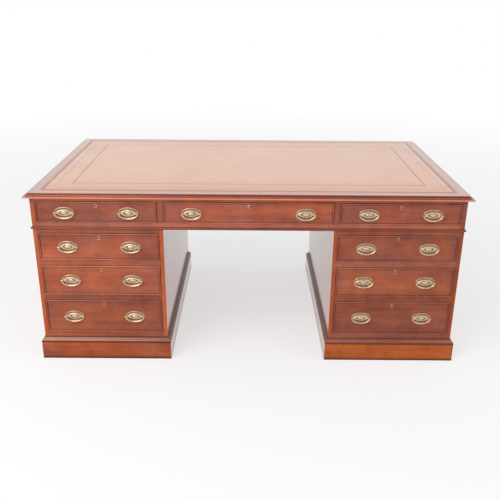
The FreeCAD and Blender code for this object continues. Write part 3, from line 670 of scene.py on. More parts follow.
def board(x_span, y_span, z_span, finish=0, front_finish=None):
    """A board with rolled edges.

    Rings rise along Z: the tilt goes from under to over, and the turn goes once round the four corners.
    A point is the inner box's corner, plus the radius times the direction of that turn and tilt.
    The front edge, with both its arrises, can have a finish of its own.
    """
    spans = np.array([x_span, y_span, z_span])
    middle, inner = spans.mean(axis=1), np.ptp(spans, axis=1) / 2 - ARRIS
    quarter = np.linspace(0, np.pi / 2, ARRIS_STEPS)
    turn = (np.arange(4)[:, None] * np.pi / 2 + quarter).reshape(1, -1)
    sign_x, sign_y = (np.repeat(signs, ARRIS_STEPS)[None, :] for signs in ((1, -1, -1, 1), (1, 1, -1, -1)))
    rise = np.linspace(0, ARRIS_END, ARRIS_STEPS)
    tilt = np.concatenate([-rise[::-1], rise])[:, None]
    sign_z = np.repeat([-1, 1], ARRIS_STEPS)[:, None]
    x = sign_x * inner[0] + ARRIS * np.cos(tilt) * np.cos(turn)
    y = sign_y * inner[1] + ARRIS * np.cos(tilt) * np.sin(turn)
    z = sign_z * inner[2] + ARRIS * np.sin(tilt) / np.sin(ARRIS_END)
    points = grid(x, y, z) + middle
    faces_front = np.sin(turn) < FACES_FRONT
    in_front = faces_front & np.roll(faces_front, -1)
    return shell(points, finish=np.where(in_front, finish if front_finish is None else front_finish, finish))


print("boards are rolled by", ARRIS, "m")

# %% [markdown]
# ## Mouldings
#
# The edge of the top, the bead under the frieze and the plinths are long strips of one section, mitred at the
# corners. The section is drawn as points, out and up, with arcs through three points, and its corners are
# eased. Carried along a side of the rectangle, each point starts and ends further out by its own distance,
# and that alone makes the mitre of 45 degrees.

# %% Sections
ARC_STEPS = 14
EASE_STEPS = 4
EASE_ANGLE = math.radians(20)
EASE_SHARE = 0.45
DIVIDE_STEP = 3 * MM


def arc(start, middle, end, steps=ARC_STEPS):
    """Points on the circle through three points, from the first to the last, by equal angles.

    As complex numbers, the arc turns by twice the angle between its two chords, and each point is the first
    one turned about the centre.
    """
    first, second, last = (complex(*point) for point in (start, middle, end))
    ratio = (last - first) / (second - first)
    centre = first + (second - first) * (ratio - abs(ratio) ** 2) / (2j * ratio.imag)
    sweep = 2 * np.angle((last - second) / (second - first))
    curve = centre + (first - centre) * np.exp(1j * np.linspace(0, sweep, steps))
    return np.stack([curve.real, curve.imag], axis=-1)


def eased(outline, radius):
    """The closed outline with each corner cut back by the radius and rounded as a parabola."""
    before, after = np.roll(outline, 1, axis=0) - outline, np.roll(outline, -1, axis=0) - outline
    long_in, long_out = (np.linalg.norm(side, axis=1, keepdims=True) for side in (before, after))
    turn = np.sum(before * after, axis=1) / (long_in * long_out)[:, 0]
    is_corner = turn > -math.cos(EASE_ANGLE)
    start = outline + before / long_in * np.minimum(radius, EASE_SHARE * long_in)
    end = outline + after / long_out * np.minimum(radius, EASE_SHARE * long_out)
    t = np.linspace(0, 1, EASE_STEPS)[None, :, None]
    curve = (1 - t) ** 2 * start[:, None] + 2 * t * (1 - t) * outline[:, None] + t ** 2 * end[:, None]
    keep = np.zeros(curve.shape[:2], bool)
    keep[:, 0] = True
    keep[is_corner] = True
    curve[~is_corner, 0] = outline[~is_corner]
    return curve[keep]


def divided(outline):
    """The closed outline with each long side cut into equal steps, so that a mark can fade along it."""
    sides = np.roll(outline, -1, axis=0) - outline
    counts = np.maximum(1, np.ceil(np.linalg.norm(sides, axis=1) / DIVIDE_STEP)).astype(int)
    first = np.repeat(np.cumsum(counts) - counts, counts)
    share = (np.arange(counts.sum()) - first) / np.repeat(counts, counts)
    return np.repeat(outline, counts, axis=0) + share[:, None] * np.repeat(sides, counts, axis=0)


def painted_shade_on(outline, *spots):
    """How much painted shade each point of a section carries. A spot has a place, reach and strength, and
    fades as a bell.
    """
    return np.max([
        strength * np.exp(-np.sum((outline - place) ** 2, axis=1) / reach ** 2)
        for place, reach, strength in spots], axis=0)


# %% Mitred strips
def mitred_frame(outline, middle, half, finishes=(0, 1), painted_shade=0.0, across=X_AXIS, along=Y_AXIS):
    """Four strips round a rectangle. A point of the outline lies (out, up) from the rectangle's edge.

    Along a side the point runs from one mitre to the other, and out lengthens the side at both ends.
    """
    up = np.cross(across, along)
    out, rise = outline[None, :, :1], outline[None, :, 1:]
    ends = np.array([-1.0, 1.0])[:, None, None]
    strips = []
    for run, way, half_run, half_way, kind in (
        (across, along, half[0], half[1], finishes[0]), (along, across, half[1], half[0], finishes[1]),
    ):
        for side in (-way, way):
            points = middle + side * (half_way + out) + up * rise + run * ends * (half_run + out)
            strips.append(shell(points, finish=kind, mark=painted_shade))
    return strips


def rectangle(low, high, z):
    """The middle and the half sizes of a level rectangle between two corners."""
    return np.array([(low[0] + high[0]) / 2, (low[1] + high[1]) / 2, z]), (high[:2] - low[:2]) / 2


print("sections are drawn with", ARC_STEPS, "points to an arc")

# %% [markdown]
# ## The top
#
# The border of the top is a flat band with a hollow below it that runs out to a thin nose, so the edge looks
# light from in front. The hollow is one arc. A lip hangs a little under the board, just clear of the case,
# and carries the nose. The nose and the upper arris are eased, because they are what sleeves rub. Painted
# shade darkens the fillet, the upper hollow and the seam with the leather, and the nose has a lighter finish
# as a painted highlight.

# %% Build the border
EDGE_INSET = 16 * MM
EDGE_NOSE = 6.5 * MM
EDGE_FILLET = 5 * MM
EDGE_HOLLOW = 3.8 * MM
EDGE_EASE = 2.0 * MM
LIP_DROP = 4.5 * MM
LIP_CLEARANCE = 0.5 * MM
# Reach and strength of the painted shade
FILLET_PAINTED_SHADE = (4.5 * MM, 0.85)
HOLLOW_PAINTED_SHADE = (4.0 * MM, 0.3)
SEAM_PAINTED_SHADE = (2.4 * MM, 0.8)
BAND, EDGE, NOSE = 0, 2, 4


def top_section():
    """Out and up from the nose: the lip, the nose, the hollow, a fillet, then the flat back to the leather.

    Returns the outline, how much painted shade each point carries, and the finish of each step.
    """
    thick = top_high[2] - top_low[2]
    width = top_high[0] - leather_high[0]
    lip_back = case_x - top_high[0] + LIP_CLEARANCE
    hollow_foot, hollow_top = EDGE_NOSE - LIP_DROP, thick - EDGE_FILLET
    chord = math.hypot(EDGE_INSET, hollow_top - hollow_foot)
    sunk = (
        -EDGE_INSET / 2 - EDGE_HOLLOW * (hollow_top - hollow_foot) / chord,
        (hollow_foot + hollow_top) / 2 - EDGE_HOLLOW * EDGE_INSET / chord,
    )
    fillet, seam = (-EDGE_INSET, hollow_top), (-width, thick)
    outline = divided(eased(np.concatenate([
        [(-width, 0.0), (lip_back, 0.0), (lip_back, -LIP_DROP), (0.0, -LIP_DROP)],
        arc((0.0, hollow_foot), sunk, fillet),
        [(-EDGE_INSET, thick), seam],
    ]), EDGE_EASE))
    painted_shade = painted_shade_on(outline, (fillet, *FILLET_PAINTED_SHADE), (sunk, *HOLLOW_PAINTED_SHADE), (seam, *SEAM_PAINTED_SHADE))
    # The nose takes its own finish, lighter along the front as a painted highlight
    is_nose = (outline[:, 0] > sunk[0] / 2) & (outline[:, 1] < hollow_foot + EDGE_EASE)
    is_band = outline[:, 1] > hollow_top + EDGE_EASE / 2
    whole_steps = [is_part & np.roll(is_part, -1) for is_part in (is_band, is_nose)]
    return outline, painted_shade, np.select(whole_steps, [BAND, NOSE], EDGE)


top_outline, top_painted_shade, top_kinds = top_section()
top_plan = rectangle(top_low, top_high, top_low[2])
make_piece(
    "top_border_moulding", mitred_frame(top_outline, *top_plan, (top_kinds, top_kinds + 1), top_painted_shade),
    [*both_ways("top_mahogany"), *both_ways("edge_shaded_sides_mahogany"), *both_ways("nose_painted_light_mahogany")],
    ["top_border"], "painted_shade")

# %% [markdown]
# ## The leather
#
# The hide is a thin sheet glued into the border. Its lines are pressed in with a hot wheel, so they are real
# grooves: the height falls along curves at fixed distances from the edge. The grid is close together only
# where a groove runs, so few points are needed. The depth of the groove also goes to the finish as tooling.

# %% Lay the leather
TOOLED_LINES = ((7.5 * MM, 1.0), (41 * MM, 0.3), (108 * MM, 0.72))
LINE_WIDTH = 2.6 * MM
LINE_SPACING = 3.6 * MM
LINE_DEPTH = 0.25 * MM
LINE_REACH = 4.6 * MM
LINE_STEPS = 15
COARSE_STEPS = 24
PLACE_DIGITS = 5
EDGE_STAIN = 0.22
STAIN_WIDTH = 7.5 * MM
STAIN_FADE = 2.0 * MM


def groove(distance):
    """How deep the tooling is at a distance from the edge, 0 to 1: a pair of round dips for each line."""
    depth = np.zeros_like(distance)
    for line, strength in TOOLED_LINES:
        for dip in about(line, LINE_SPACING / 2):
            depth += strength * np.exp(-((distance - dip) / (LINE_WIDTH / 2)) ** 2)
    return np.clip(depth, 0, 1)


def leather_steps(low, high):
    """Places along one side: even and coarse, with close steps round each tooled line at both ends."""
    beside = np.linspace(-LINE_REACH, LINE_REACH, LINE_STEPS)
    close = np.concatenate([line + beside for line, _ in TOOLED_LINES])
    coarse = np.linspace(0, high - low, COARSE_STEPS)
    return low + np.unique(np.round(np.concatenate([close, high - low - close, coarse]), PLACE_DIGITS))


def leather_shell():
    """A sheet whose upper side dips by the groove's depth at the distance to the nearest edge."""
    x, y = (leather_steps(leather_low[axis], leather_high[axis]) for axis in (0, 1))
    grid_x, grid_y = np.meshgrid(x, y, indexing="ij")
    distance = np.min([grid_x - x[0], x[-1] - grid_x, grid_y - y[0], y[-1] - grid_y], axis=0)
    depth = groove(distance)
    upper = grid(grid_x, grid_y, leather_high[2] - LINE_DEPTH * depth).reshape(-1, 3)
    index = np.arange(len(upper)).reshape(len(x), len(y))
    quads = np.stack([index[:-1, :-1], index[1:, :-1], index[1:, 1:], index[:-1, 1:]], axis=-1).reshape(-1, 4)
    rim = np.concatenate([index[:-1, 0], index[-1, :-1], index[:0:-1, -1], index[0, :0:-1]])
    lower = upper[rim]
    lower[:, 2] = leather_low[2]
    under = len(upper) + np.arange(len(rim))
    skirt = np.stack([rim, under, np.roll(under, -1), np.roll(rim, -1)], axis=-1)
    stain = EDGE_STAIN * np.clip((STAIN_WIDTH - distance) / STAIN_FADE, 0, 1)
    tooling = np.concatenate([np.maximum(depth, stain).reshape(-1), np.zeros(len(rim))])
    faces = quads.tolist() + skirt.tolist() + [under[::-1].tolist()]
    kinds = np.zeros(len(faces), int)
    return {"points": np.concatenate([upper, lower]), "faces": faces, "kinds": kinds, "marks": tooling}


writing_leather = make_piece(
    "writing_leather", [leather_shell()], [leather_finish], ["leather_top"], "tooling")

# %% [markdown]
# ## The frieze
#
# The frieze is a shallow box: two ends, a back, and in front two long rails with uprights between the
# drawers. Grain runs the long way of each board. On the far side thin beads outline three false fronts, so
# that both sides of the desk look alike.

# %% Build the frieze
BACK_THICKNESS = 20 * MM
RAIL_DEPTH = 60 * MM
DRAWER_END_GAP = 6 * MM
COCK_BEAD_PROUD = 3.2 * MM
FRIEZE_DRAWERS = ("frieze_left_drawer", "frieze_middle_drawer", "frieze_right_drawer")
FRIEZE_X, FRIEZE_Y, FRIEZE_PARTITION_AND_SHADED_END, FRIEZE_END, FRIEZE_RAIL = range(5)


def bead_section():
    """A flat strip with a half-round nose, planted on a face."""
    shoulder = COCK_BEAD_PROUD - COCK_BEAD / 2
    nose = arc((0.0, shoulder), (-COCK_BEAD / 2, COCK_BEAD_PROUD), (-COCK_BEAD, shoulder))
    return np.concatenate([[(-COCK_BEAD, 0.0), (0.0, 0.0)], nose])


frieze_z = (rail_low[2], rail_high[2])
inside_x = (-rail_high[0], rail_high[0])
deep_y, rail_y = (face_y, back_y), (face_y, face_y + RAIL_DEPTH)
partition_y = (face_y, corners("frieze_left_drawer_box")[1][1] + DRAWER_END_GAP)
drawer_z = opening(FRIEZE_DRAWERS[0])[1]
boards = [
    board((-case_x, inside_x[0]), deep_y, frieze_z, FRIEZE_Y, FRIEZE_END),
    # The right end's front edge takes the darker partition wood, as painted shade
    board((inside_x[1], case_x), deep_y, frieze_z, FRIEZE_Y, FRIEZE_PARTITION_AND_SHADED_END),
    board(inside_x, (back_y - BACK_THICKNESS, back_y), frieze_z, FRIEZE_X),
    board(inside_x, rail_y, (frieze_z[0], drawer_z[0]), FRIEZE_X),
    board(inside_x, rail_y, (drawer_z[1], frieze_z[1]), FRIEZE_RAIL),
]
for left, right in zip(FRIEZE_DRAWERS, FRIEZE_DRAWERS[1:]):
    upright_x = (opening(left)[0][1], opening(right)[0][0])
    boards.append(board(upright_x, partition_y, drawer_z, FRIEZE_PARTITION_AND_SHADED_END))
for drawer in FRIEZE_DRAWERS:
    span = opening(drawer)[0]
    middle = np.array((np.mean(span), back_y, np.mean(drawer_z)))
    half = np.ptp(span) / 2, np.ptp(drawer_z) / 2
    boards += mitred_frame(
        bead_section(), middle, half, (FRIEZE_X, FRIEZE_PARTITION_AND_SHADED_END), across=-X_AXIS, along=Z_AXIS)
frieze_woods = woods(
    "mahogany_along_x", "mahogany_along_y", "partition_and_shaded_end_mahogany", "left_stile_mahogany",
    "frieze_rail_mahogany")
make_piece("frieze_boards", boards, frieze_woods, ["frieze_case", "frieze_rails"])

# %% [markdown]
# ## The bead under the frieze
#
# A half-round bead covers the joint between the frieze and the pedestals. From in front it reads as a dark
# band with a fine bright line: its round face reflects the room above and the floor below, and painted shade
# darkens its foot, its crown and its face.

# %% Build the bead
BEAD_NOSE = 6 * MM
BEAD_BACK = 30 * MM
BEAD_EASE = 0.4 * MM
BEAD_FOOT_PAINTED_SHADE = (7.0 * MM, 0.9)
BEAD_CROWN_PAINTED_SHADE = (4.5 * MM, 0.9)
BEAD_FACE_PAINTED_SHADE = (6.0 * MM, 0.35)


def half_round_section():
    """A flat strip that ends in a half circle as high as the strip."""
    tall = bead_high[2] - bead_low[2]
    shoulder = BEAD_NOSE - tall / 2
    foot, crown, face = (0.0, 0.0), (0.0, tall), (BEAD_NOSE, tall / 2)
    nose = arc((shoulder, 0.0), face, (shoulder, tall), 2 * ARC_STEPS)
    outline = divided(eased(np.concatenate([[(-BEAD_BACK, 0.0)], nose, [(-BEAD_BACK, tall)]]), BEAD_EASE))
    # Painted shade on the foot, the crown and the face of the bead
    return outline, painted_shade_on(
        outline, (foot, *BEAD_FOOT_PAINTED_SHADE), (crown, *BEAD_CROWN_PAINTED_SHADE), (face, *BEAD_FACE_PAINTED_SHADE))


bead_outline, bead_painted_shade = half_round_section()
case_plan = np.array([(-case_x, face_y), (case_x, back_y)])
make_piece(
    "frieze_half_round",
    mitred_frame(bead_outline, *rectangle(*case_plan, bead_low[2]), painted_shade=bead_painted_shade),
    both_ways("bead_mahogany"), ["frieze_bead"], "painted_shade")

# %% [markdown]
# ## The pedestals
#
# Each pedestal has two upright sides and four rails between them. The rails fill what the drawer openings
# leave, from the plinth to the bead, so they are read from the drawers above and below.

# %% Build the pedestals
BOTTOM_RAIL_DEPTH = 22 * MM
PEDESTAL_RAIL, PEDESTAL_SIDE, PEDESTAL_STILE = range(3)


def pedestal_boards(side):
    """Two sides of the full height, and a rail under, between and over the three drawers."""
    low, high = corners(f"{side}_pedestal_case")
    holes = [opening(f"{side}_{level}_drawer") for level in ("bottom", "middle", "top")]
    inner = holes[0][0]
    found = [
        board(span, deep_y, (low[2], high[2]), PEDESTAL_SIDE, PEDESTAL_STILE)
        for span in ((low[0], inner[0]), (inner[1], high[0]))]
    edges = [low[2]] + [edge for hole in holes for edge in hole[1]] + [high[2]]
    depths = (BOTTOM_RAIL_DEPTH, RAIL_DEPTH, RAIL_DEPTH, RAIL_DEPTH)
    for under, over, depth in zip(edges[0::2], edges[1::2], depths):
        found.append(board(inner, (face_y, face_y + depth), (under, over), PEDESTAL_RAIL))
    return found


for side in SIDES:
    pedestal_woods = woods("rail_mahogany", "mahogany_along_z", f"{side}_stile_mahogany")
    make_piece(f"{side}_pedestal_boards", pedestal_boards(side), pedestal_woods, [f"{side}_pedestal_case"])

# %% [markdown]
# ## The panelled backs
#
# The far side of a pedestal is a frame with a fielded panel: two stiles, two rails, and a panel that is free
# to shrink in their grooves. A bevel runs from the frame up to the flat field. So the panel is a stack of
# rectangles, each drawn in from the opening and raised by its own amount, with painted shade where the panel
# meets the frame and a darker line where the bevel meets the field.

# %% Build the backs
BACK_STILE = 62 * MM
BACK_FRAME = 18 * MM
PANEL_SUNK = 6 * MM
PLINTH_FACE = 83 * MM
# Inset, rise and darkening of each rectangle
PANEL_RINGS = np.array([
    (0.0, -6.0, 0.0),
    (0.0, 0.0, 0.85),
    (2.0, 0.28, 0.35),
    (6.0, 0.83, 0.0),
    (33.0, 4.58, 0.0),
    (36.0, 5.0, 0.35),
    (38.0, 5.0, 0.0),
]) * (MM, MM, 1.0)
BACK_X, BACK_Z, BACK_PANEL = range(3)


def fielded_panel(x_span, z_span):
    """Rectangles one after another: inset from the opening, raised from the sunk edge, with their darkening.
    """
    inset, rise, painted_shade = (column[:, None] for column in PANEL_RINGS.T)
    right, up = np.array([-1, 1, 1, -1]), np.array([-1, -1, 1, 1])
    x = np.mean(x_span) + right * (np.ptp(x_span) / 2 - inset)
    z = np.mean(z_span) + up * (np.ptp(z_span) / 2 - inset)
    return shell(grid(x, back_y - PANEL_SUNK + rise, z), finish=BACK_PANEL, mark=painted_shade)


def back_shells(side):
    """The frame fills the opening between the sides, and the panel fills the frame."""
    low, high = corners(f"{side}_pedestal_back")
    under = corners(f"{side}_plinth")[1][2] - PLINTH_FACE
    thick_y, tall_z = (back_y - BACK_FRAME, back_y), (low[2], high[2])
    inner_x = (low[0] + BACK_STILE, high[0] - BACK_STILE)
    inner_z = (low[2] + BACK_STILE + under, high[2] - BACK_STILE)
    return [
        board((low[0], inner_x[0]), thick_y, tall_z, BACK_Z),
        board((inner_x[1], high[0]), thick_y, tall_z, BACK_Z),
        board(inner_x, thick_y, (low[2], inner_z[0]), BACK_X),
        board(inner_x, thick_y, (inner_z[1], high[2]), BACK_X),
        fielded_panel(inner_x, inner_z),
    ]


for side in SIDES:
    back_woods = woods("mahogany_along_x", "mahogany_along_z", "panel_mahogany_along_z")
    make_piece(
        f"{side}_panelled_back", back_shells(side), back_woods, [f"{side}_pedestal_back"], "painted_shade")

# %% [markdown]
# ## The plinths
#
# A plinth is four boards with an ogee worked along the top edge: a round swell that turns into a hollow. Two
# arcs that meet on a common tangent make it. Glue blocks strengthen the corners inside, where only a sweeper
# sees them.

# %% Build the plinths
PLINTH_PROJECTION = 14 * MM
PLINTH_LEDGE = 10 * MM
PLINTH_MOULDING_TOP = 1.5 * MM
PLINTH_EASE = 0.8 * MM
GLUE_BLOCK = 40 * MM
PLINTH_FOOT_PAINTED_SHADE = (10.0 * MM, 0.95)
PLINTH_EDGE_PAINTED_SHADE = (5.0 * MM, 0.85)
PLINTH_CREASE_PAINTED_SHADE = (6.5 * MM, 0.85)
PLINTH_BOARD, PLINTH_BLOCK, PLINTH_SWELL = 0, 2, 3


def plinth_section(seat, top):
    """The board, then a swell and a hollow of equal arcs up to the pedestal, then the ledge it stands on."""
    run = (PLINTH_PROJECTION - PLINTH_MOULDING_TOP) / 2
    rise = (top - PLINTH_FACE) / 2
    radius = (run ** 2 + rise ** 2) / (2 * run)
    half_angle = math.atan2(run, rise)
    swell_out, swell_up = radius * (1 - math.cos(half_angle)), radius * math.sin(half_angle)
    foot, edge = (PLINTH_PROJECTION, 0.0), (PLINTH_PROJECTION, PLINTH_FACE)
    join, crease = (PLINTH_PROJECTION - run, PLINTH_FACE + rise), (PLINTH_MOULDING_TOP, top)
    swell = arc(edge, (PLINTH_PROJECTION - swell_out, PLINTH_FACE + swell_up), join)
    hollow = arc(join, (PLINTH_MOULDING_TOP + swell_out, top - swell_up), crease)
    outline = divided(eased(np.concatenate([
        [(-PLINTH_LEDGE, 0.0), foot],
        swell, hollow[1:],
        [(0.0, top), (0.0, seat), (-PLINTH_LEDGE, seat)],
    ]), PLINTH_EASE))
    # Painted shade: darker at the foot, as a contact shadow, under the swell and in the crease of the hollow
    return outline, painted_shade_on(
        outline, (foot, *PLINTH_FOOT_PAINTED_SHADE), (edge, *PLINTH_EDGE_PAINTED_SHADE), (crease, *PLINTH_CREASE_PAINTED_SHADE))


def glue_block(corner, sign_x, sign_y, tall):
    """A three-cornered block that fills a corner of the plinth, from the floor to the ledge."""
    plan = corner + np.array([(0, 0), (-sign_x * GLUE_BLOCK, 0), (0, -sign_y * GLUE_BLOCK)])
    heights = np.array([0.0, tall])[:, None]
    return shell(grid(plan[None, :, 0], plan[None, :, 1], heights), finish=PLINTH_BLOCK)


def plinth_shells(side):
    """Four mitred boards round the pedestal's foot, and a glue block in each corner."""
    low, high = corners(f"{side}_pedestal_case")
    seat, top = low[2], corners(f"{side}_plinth")[1][2]
    middle, half = rectangle(low, high, 0.0)
    outline, painted_shade = plinth_section(seat, top)
    kinds = np.where(outline[:, 1] >= PLINTH_FACE, PLINTH_SWELL, PLINTH_BOARD)
    found = mitred_frame(outline, middle, half, (kinds, kinds + 1), painted_shade)
    for sign_x in (-1, 1):
        for sign_y in (-1, 1):
            corner = middle[:2] + (half - PLINTH_LEDGE) * (sign_x, sign_y)
            found.append(glue_block(corner, sign_x, sign_y, seat))
    return found


for side in SIDES:
    make_piece(
        f"{side}_plinth_moulding", plinth_shells(side),
        [*both_ways(f"{side}_plinth"), pine, *both_ways("swell_shaded_sides_mahogany")], [f"{side}_plinth"], "painted_shade")

# %% [markdown]
# ## Oval handles
#
# Each handle is a stamped plate, two turned posts and a bail that swings on pins in the posts. The plate is
# a stack of ovals, each with its own width, height and rise, so a handful of rings gives the rim, the sunk
# channel, the pointed oval and the boss. An exponent pinches the ends of an oval into points: with 1 it is an
# ellipse, and with 2 it is a lens.

# %% The plate
PLATE_SIDES = 72
PLATE_HALF = np.array((42.5, 25.5)) * MM
RIM_WIDTH = 5.0 * MM
RIM_FOOT = 0.9 * MM
RIM_RISE = 2.8 * MM
RIM_FULLNESS = 0.8
RIM_STEPS = 11
CHANNEL_RISE = 1.2 * MM
CHANNEL_START = 1.08
OVAL_HALF = np.array((35.0, 14.0)) * MM
OVAL_FOOT = 1.06
OVAL_ROLL = 5.0 * MM
OVAL_RISE = 3.6 * MM
OVAL_PINCH = 1.6
OVAL_STEPS = 6
BOSS_HALF = np.array((13.0, 6.5)) * MM
BOSS_FOOT = 1.04
BOSS_TURN = 0.94
BOSS_RISE = 5.0 * MM
BOSS_GROOVE = np.array((17.5, 8.4)) * MM
GROOVE_FLOOR = 0.92
GROOVE_DEPTH = 0.4 * MM
PATINA = {
    "back": 0.4, "rim": 0.35, "channel": 0.55, "oval foot": 0.85, "oval": 0.30, "groove edge": 0.5,
    "groove": 0.9}


def rings(half, rise, patina, pinch=1.0):
    """Rows of half width, half height, rise, pinch and patina, one for each oval."""
    columns = np.broadcast_arrays(half[..., 0], half[..., 1], rise, pinch, patina)
    return np.stack(columns, axis=-1).reshape(-1, len(columns))


def oval_rings():
    """The ovals from the back edge to the boss. Rim, oval and boss round over by the sine and the cosine."""
    over, up = np.linspace(0, np.pi, RIM_STEPS), np.linspace(0, np.pi / 2, OVAL_STEPS)
    rim_half = PLATE_HALF - RIM_WIDTH / 2 * (1 - np.cos(over))[:, None]
    rim_rise = RIM_FOOT + (RIM_RISE - RIM_FOOT) * np.sin(over) ** RIM_FULLNESS
    oval_half = OVAL_HALF - OVAL_ROLL * (1 - np.cos(up))[:, None]
    oval_rise = CHANNEL_RISE + (OVAL_RISE - CHANNEL_RISE) * np.sin(up)
    groove_rise = OVAL_RISE - GROOVE_DEPTH
    boss_half = BOSS_HALF * np.cos(up * BOSS_TURN)[:, None]
    boss_rise = groove_rise + (BOSS_RISE - groove_rise) * np.sin(up)
    return np.concatenate([
        rings(PLATE_HALF, 0.0, PATINA["back"]),
        rings(rim_half, rim_rise, PATINA["rim"]),
        rings(PLATE_HALF - RIM_WIDTH * CHANNEL_START, CHANNEL_RISE, PATINA["channel"]),
        rings(OVAL_HALF * OVAL_FOOT, CHANNEL_RISE, PATINA["oval foot"], OVAL_PINCH),
        rings(oval_half, oval_rise, PATINA["oval"] * (1 - np.sin(up)), OVAL_PINCH),
        rings(BOSS_GROOVE, OVAL_RISE, PATINA["groove edge"]),
        rings(BOSS_GROOVE * GROOVE_FLOOR, groove_rise, PATINA["groove"]),
        rings(BOSS_HALF * BOSS_FOOT, groove_rise, PATINA["groove"]),
        rings(boss_half, boss_rise, 0.0),
    ])


def plate(x, z):
    """Ring after ring: across is half width times cosine, up is half height times sine to the pinch."""
    wide, tall, rise, pinch, patina = (column[:, None] for column in oval_rings().T)
    angle = whole_turn(PLATE_SIDES)[None, :]
    up = np.sign(np.sin(angle)) * np.abs(np.sin(angle)) ** pinch
    return shell(grid(x + wide * np.cos(angle), face_y - rise, z + tall * up), mark=patina)


print("a plate has", len(oval_rings()), "ovals")

# %% [markdown]
# A post is turned on a lathe, so it is a radius that changes along an axis, carried once round. The bail is
# half an oval, drawn by a round section that swells to the middle, where the fingers pull. Short barrels at
# its ends hold the pins that run into the posts.

# %% The posts and bails
POST_SPACING = 67 * MM
POST_REACH = 7.5 * MM
POST_RADIUS = 3.2 * MM
LATHE_SIDES = 24
# Radius and distance along the axis
POST_OUTLINE = np.array([
    (3.7, 1.0), (3.7, 2.0), (3.1, 2.5), (2.9, 3.4), (3.2, 4.6), (3.2, 9.4), (2.9, 10.5), (2.1, 11.3),
    (0.9, 11.7)]) * MM
BAIL_DROP = 23 * MM
BAIL_END_RADIUS = 2.0 * MM
BAIL_MIDDLE_RADIUS = 2.8 * MM
BAIL_STEPS = 44
BAIL_SIDES = 18
BARREL_RADIUS = 2.4 * MM
BARREL_OUTLINE = BARREL_RADIUS * np.array([
    (0.72, -1.0), (0.94, -0.85), (1.0, -0.6), (1.0, 0.6), (0.94, 0.85), (0.72, 1.0)])
PIN_RADIUS = 1.5 * MM
PIN_INSERT = 4.6 * MM
PIN_PATINA = 0.5


def turned(centre, axis, outline, mark=0.0):
    """A lathe form: each point of the outline is (radius, distance along the axis), carried once round it."""
    first = np.cross(axis, Z_AXIS)
    second = np.cross(axis, first)
    angle = whole_turn(LATHE_SIDES)[None, :, None]
    radius, along = outline[:, None, :1], outline[:, None, 1:]
    points = centre + axis * along + radius * (first * np.cos(angle) + second * np.sin(angle))
    return shell(points, mark=mark)


def bail(x, z, half_span):
    """A round section carried along half an oval, with a barrel and a pin at each end.

    The path is (-span cosine t, -drop sine t). A ring lies in the plane of Y and the path's own normal.
    """
    t = np.linspace(0, np.pi, BAIL_STEPS)[:, None, None]
    angle = whole_turn(BAIL_SIDES)[None, :, None]
    centre = np.array((x, face_y - POST_REACH, z))
    path = centre - half_span * np.cos(t) * X_AXIS - BAIL_DROP * np.sin(t) * Z_AXIS
    slope = half_span * np.sin(t) * X_AXIS - BAIL_DROP * np.cos(t) * Z_AXIS
    normal = np.cross(slope, Y_AXIS)
    normal = normal / np.linalg.norm(normal, axis=-1, keepdims=True)
    radius = BAIL_END_RADIUS + (BAIL_MIDDLE_RADIUS - BAIL_END_RADIUS) * np.sin(t)
    shells = [shell(path + radius * (normal * np.cos(angle) + Y_AXIS * np.sin(angle)))]
    pin_length = half_span - (POST_SPACING / 2 + POST_RADIUS - PIN_INSERT)
    pin = np.array([(PIN_RADIUS, 0.0), (PIN_RADIUS, pin_length)])
    for side in (-1, 1):
        tip = centre + side * half_span * X_AXIS
        shells += [turned(tip, X_AXIS, BARREL_OUTLINE), turned(tip, -side * X_AXIS, pin, PIN_PATINA)]
    return shells


print("a bail drops", BAIL_DROP, "m under its pins")

# %% [markdown]
# ## Keyholes and locks
#
# A thin brass outline is let into the wood round each keyhole: a round eye over a straight slot. The same
# outline, grown by a little more or less, gives every edge of the rim, so the rim is six rings joined up. The
# lock itself is a plain box let into the back of the front.

# %% The keyhole
EYE_RADIUS = 3.6 * MM
EYE_STEPS = 26
SLOT_HALF = 2.0 * MM
SLOT_LENGTH = 10.5 * MM
KEYHOLE_RIM = 2.0 * MM
KEYHOLE_PROUD = 0.3 * MM
KEYHOLE_DEPTH = 3.0 * MM
KEYHOLE_PATINA = 0.1
KEYHOLE_FINISH = 1
# How far each ring is grown, and how far it lies behind the face
KEYHOLE_RINGS = (
    (KEYHOLE_RIM, KEYHOLE_DEPTH), (KEYHOLE_RIM, 0.0), (KEYHOLE_RIM * 0.8, -KEYHOLE_PROUD),
    (KEYHOLE_RIM * 0.2, -KEYHOLE_PROUD), (0.0, 0.0), (0.0, KEYHOLE_DEPTH))


def keyhole_ring(grow):
    """The outline grown by a rim: round the eye from slot to slot, then down, across and up the slot."""
    radius, half = EYE_RADIUS + grow, SLOT_HALF + grow
    start = -math.acos(half / radius)
    angle = np.linspace(start, math.pi - start, EYE_STEPS)
    eye = radius * np.stack([np.cos(angle), np.sin(angle)], axis=-1)
    foot = -(SLOT_LENGTH + grow)
    return np.concatenate([eye, [(-half, foot), (half, foot)]])


def keyhole(x, z):
    """A rim round the keyhole: rings from the outer back over the front to the inner back, in a loop."""
    outlines = np.array([keyhole_ring(grow) for grow, _ in KEYHOLE_RINGS])
    depths = np.array(KEYHOLE_RINGS)[:, 1:]
    points = grid(x + outlines[..., 0], face_y + depths, z + outlines[..., 1])
    return shell(points, wrap_rows=True, finish=KEYHOLE_FINISH, mark=KEYHOLE_PATINA)


print("a keyhole has", len(KEYHOLE_RINGS), "rings")

# %% [markdown]
# ## Fitting the brass to every drawer
#
# The CAD bail tells where a handle is: its middle in X, and the pivot one barrel's radius under its top. So
# one loop fits all eighteen handles, and each bail rides on its own body and swings on its own pins.

# %% Fit the handles
FRONT_THICKNESS = 20 * MM
KEYHOLE_DROP = 14.5 * MM
LOCK_SIZE = np.array((60.0, 10.0, 38.0)) * MM
NUT_HALF = 4.5 * MM
NUT_THICKNESS = 4.0 * MM
inner_y = face_y + FRONT_THICKNESS
lock_y, nut_y = (inner_y - LOCK_SIZE[1], inner_y), (inner_y, inner_y + NUT_THICKNESS)

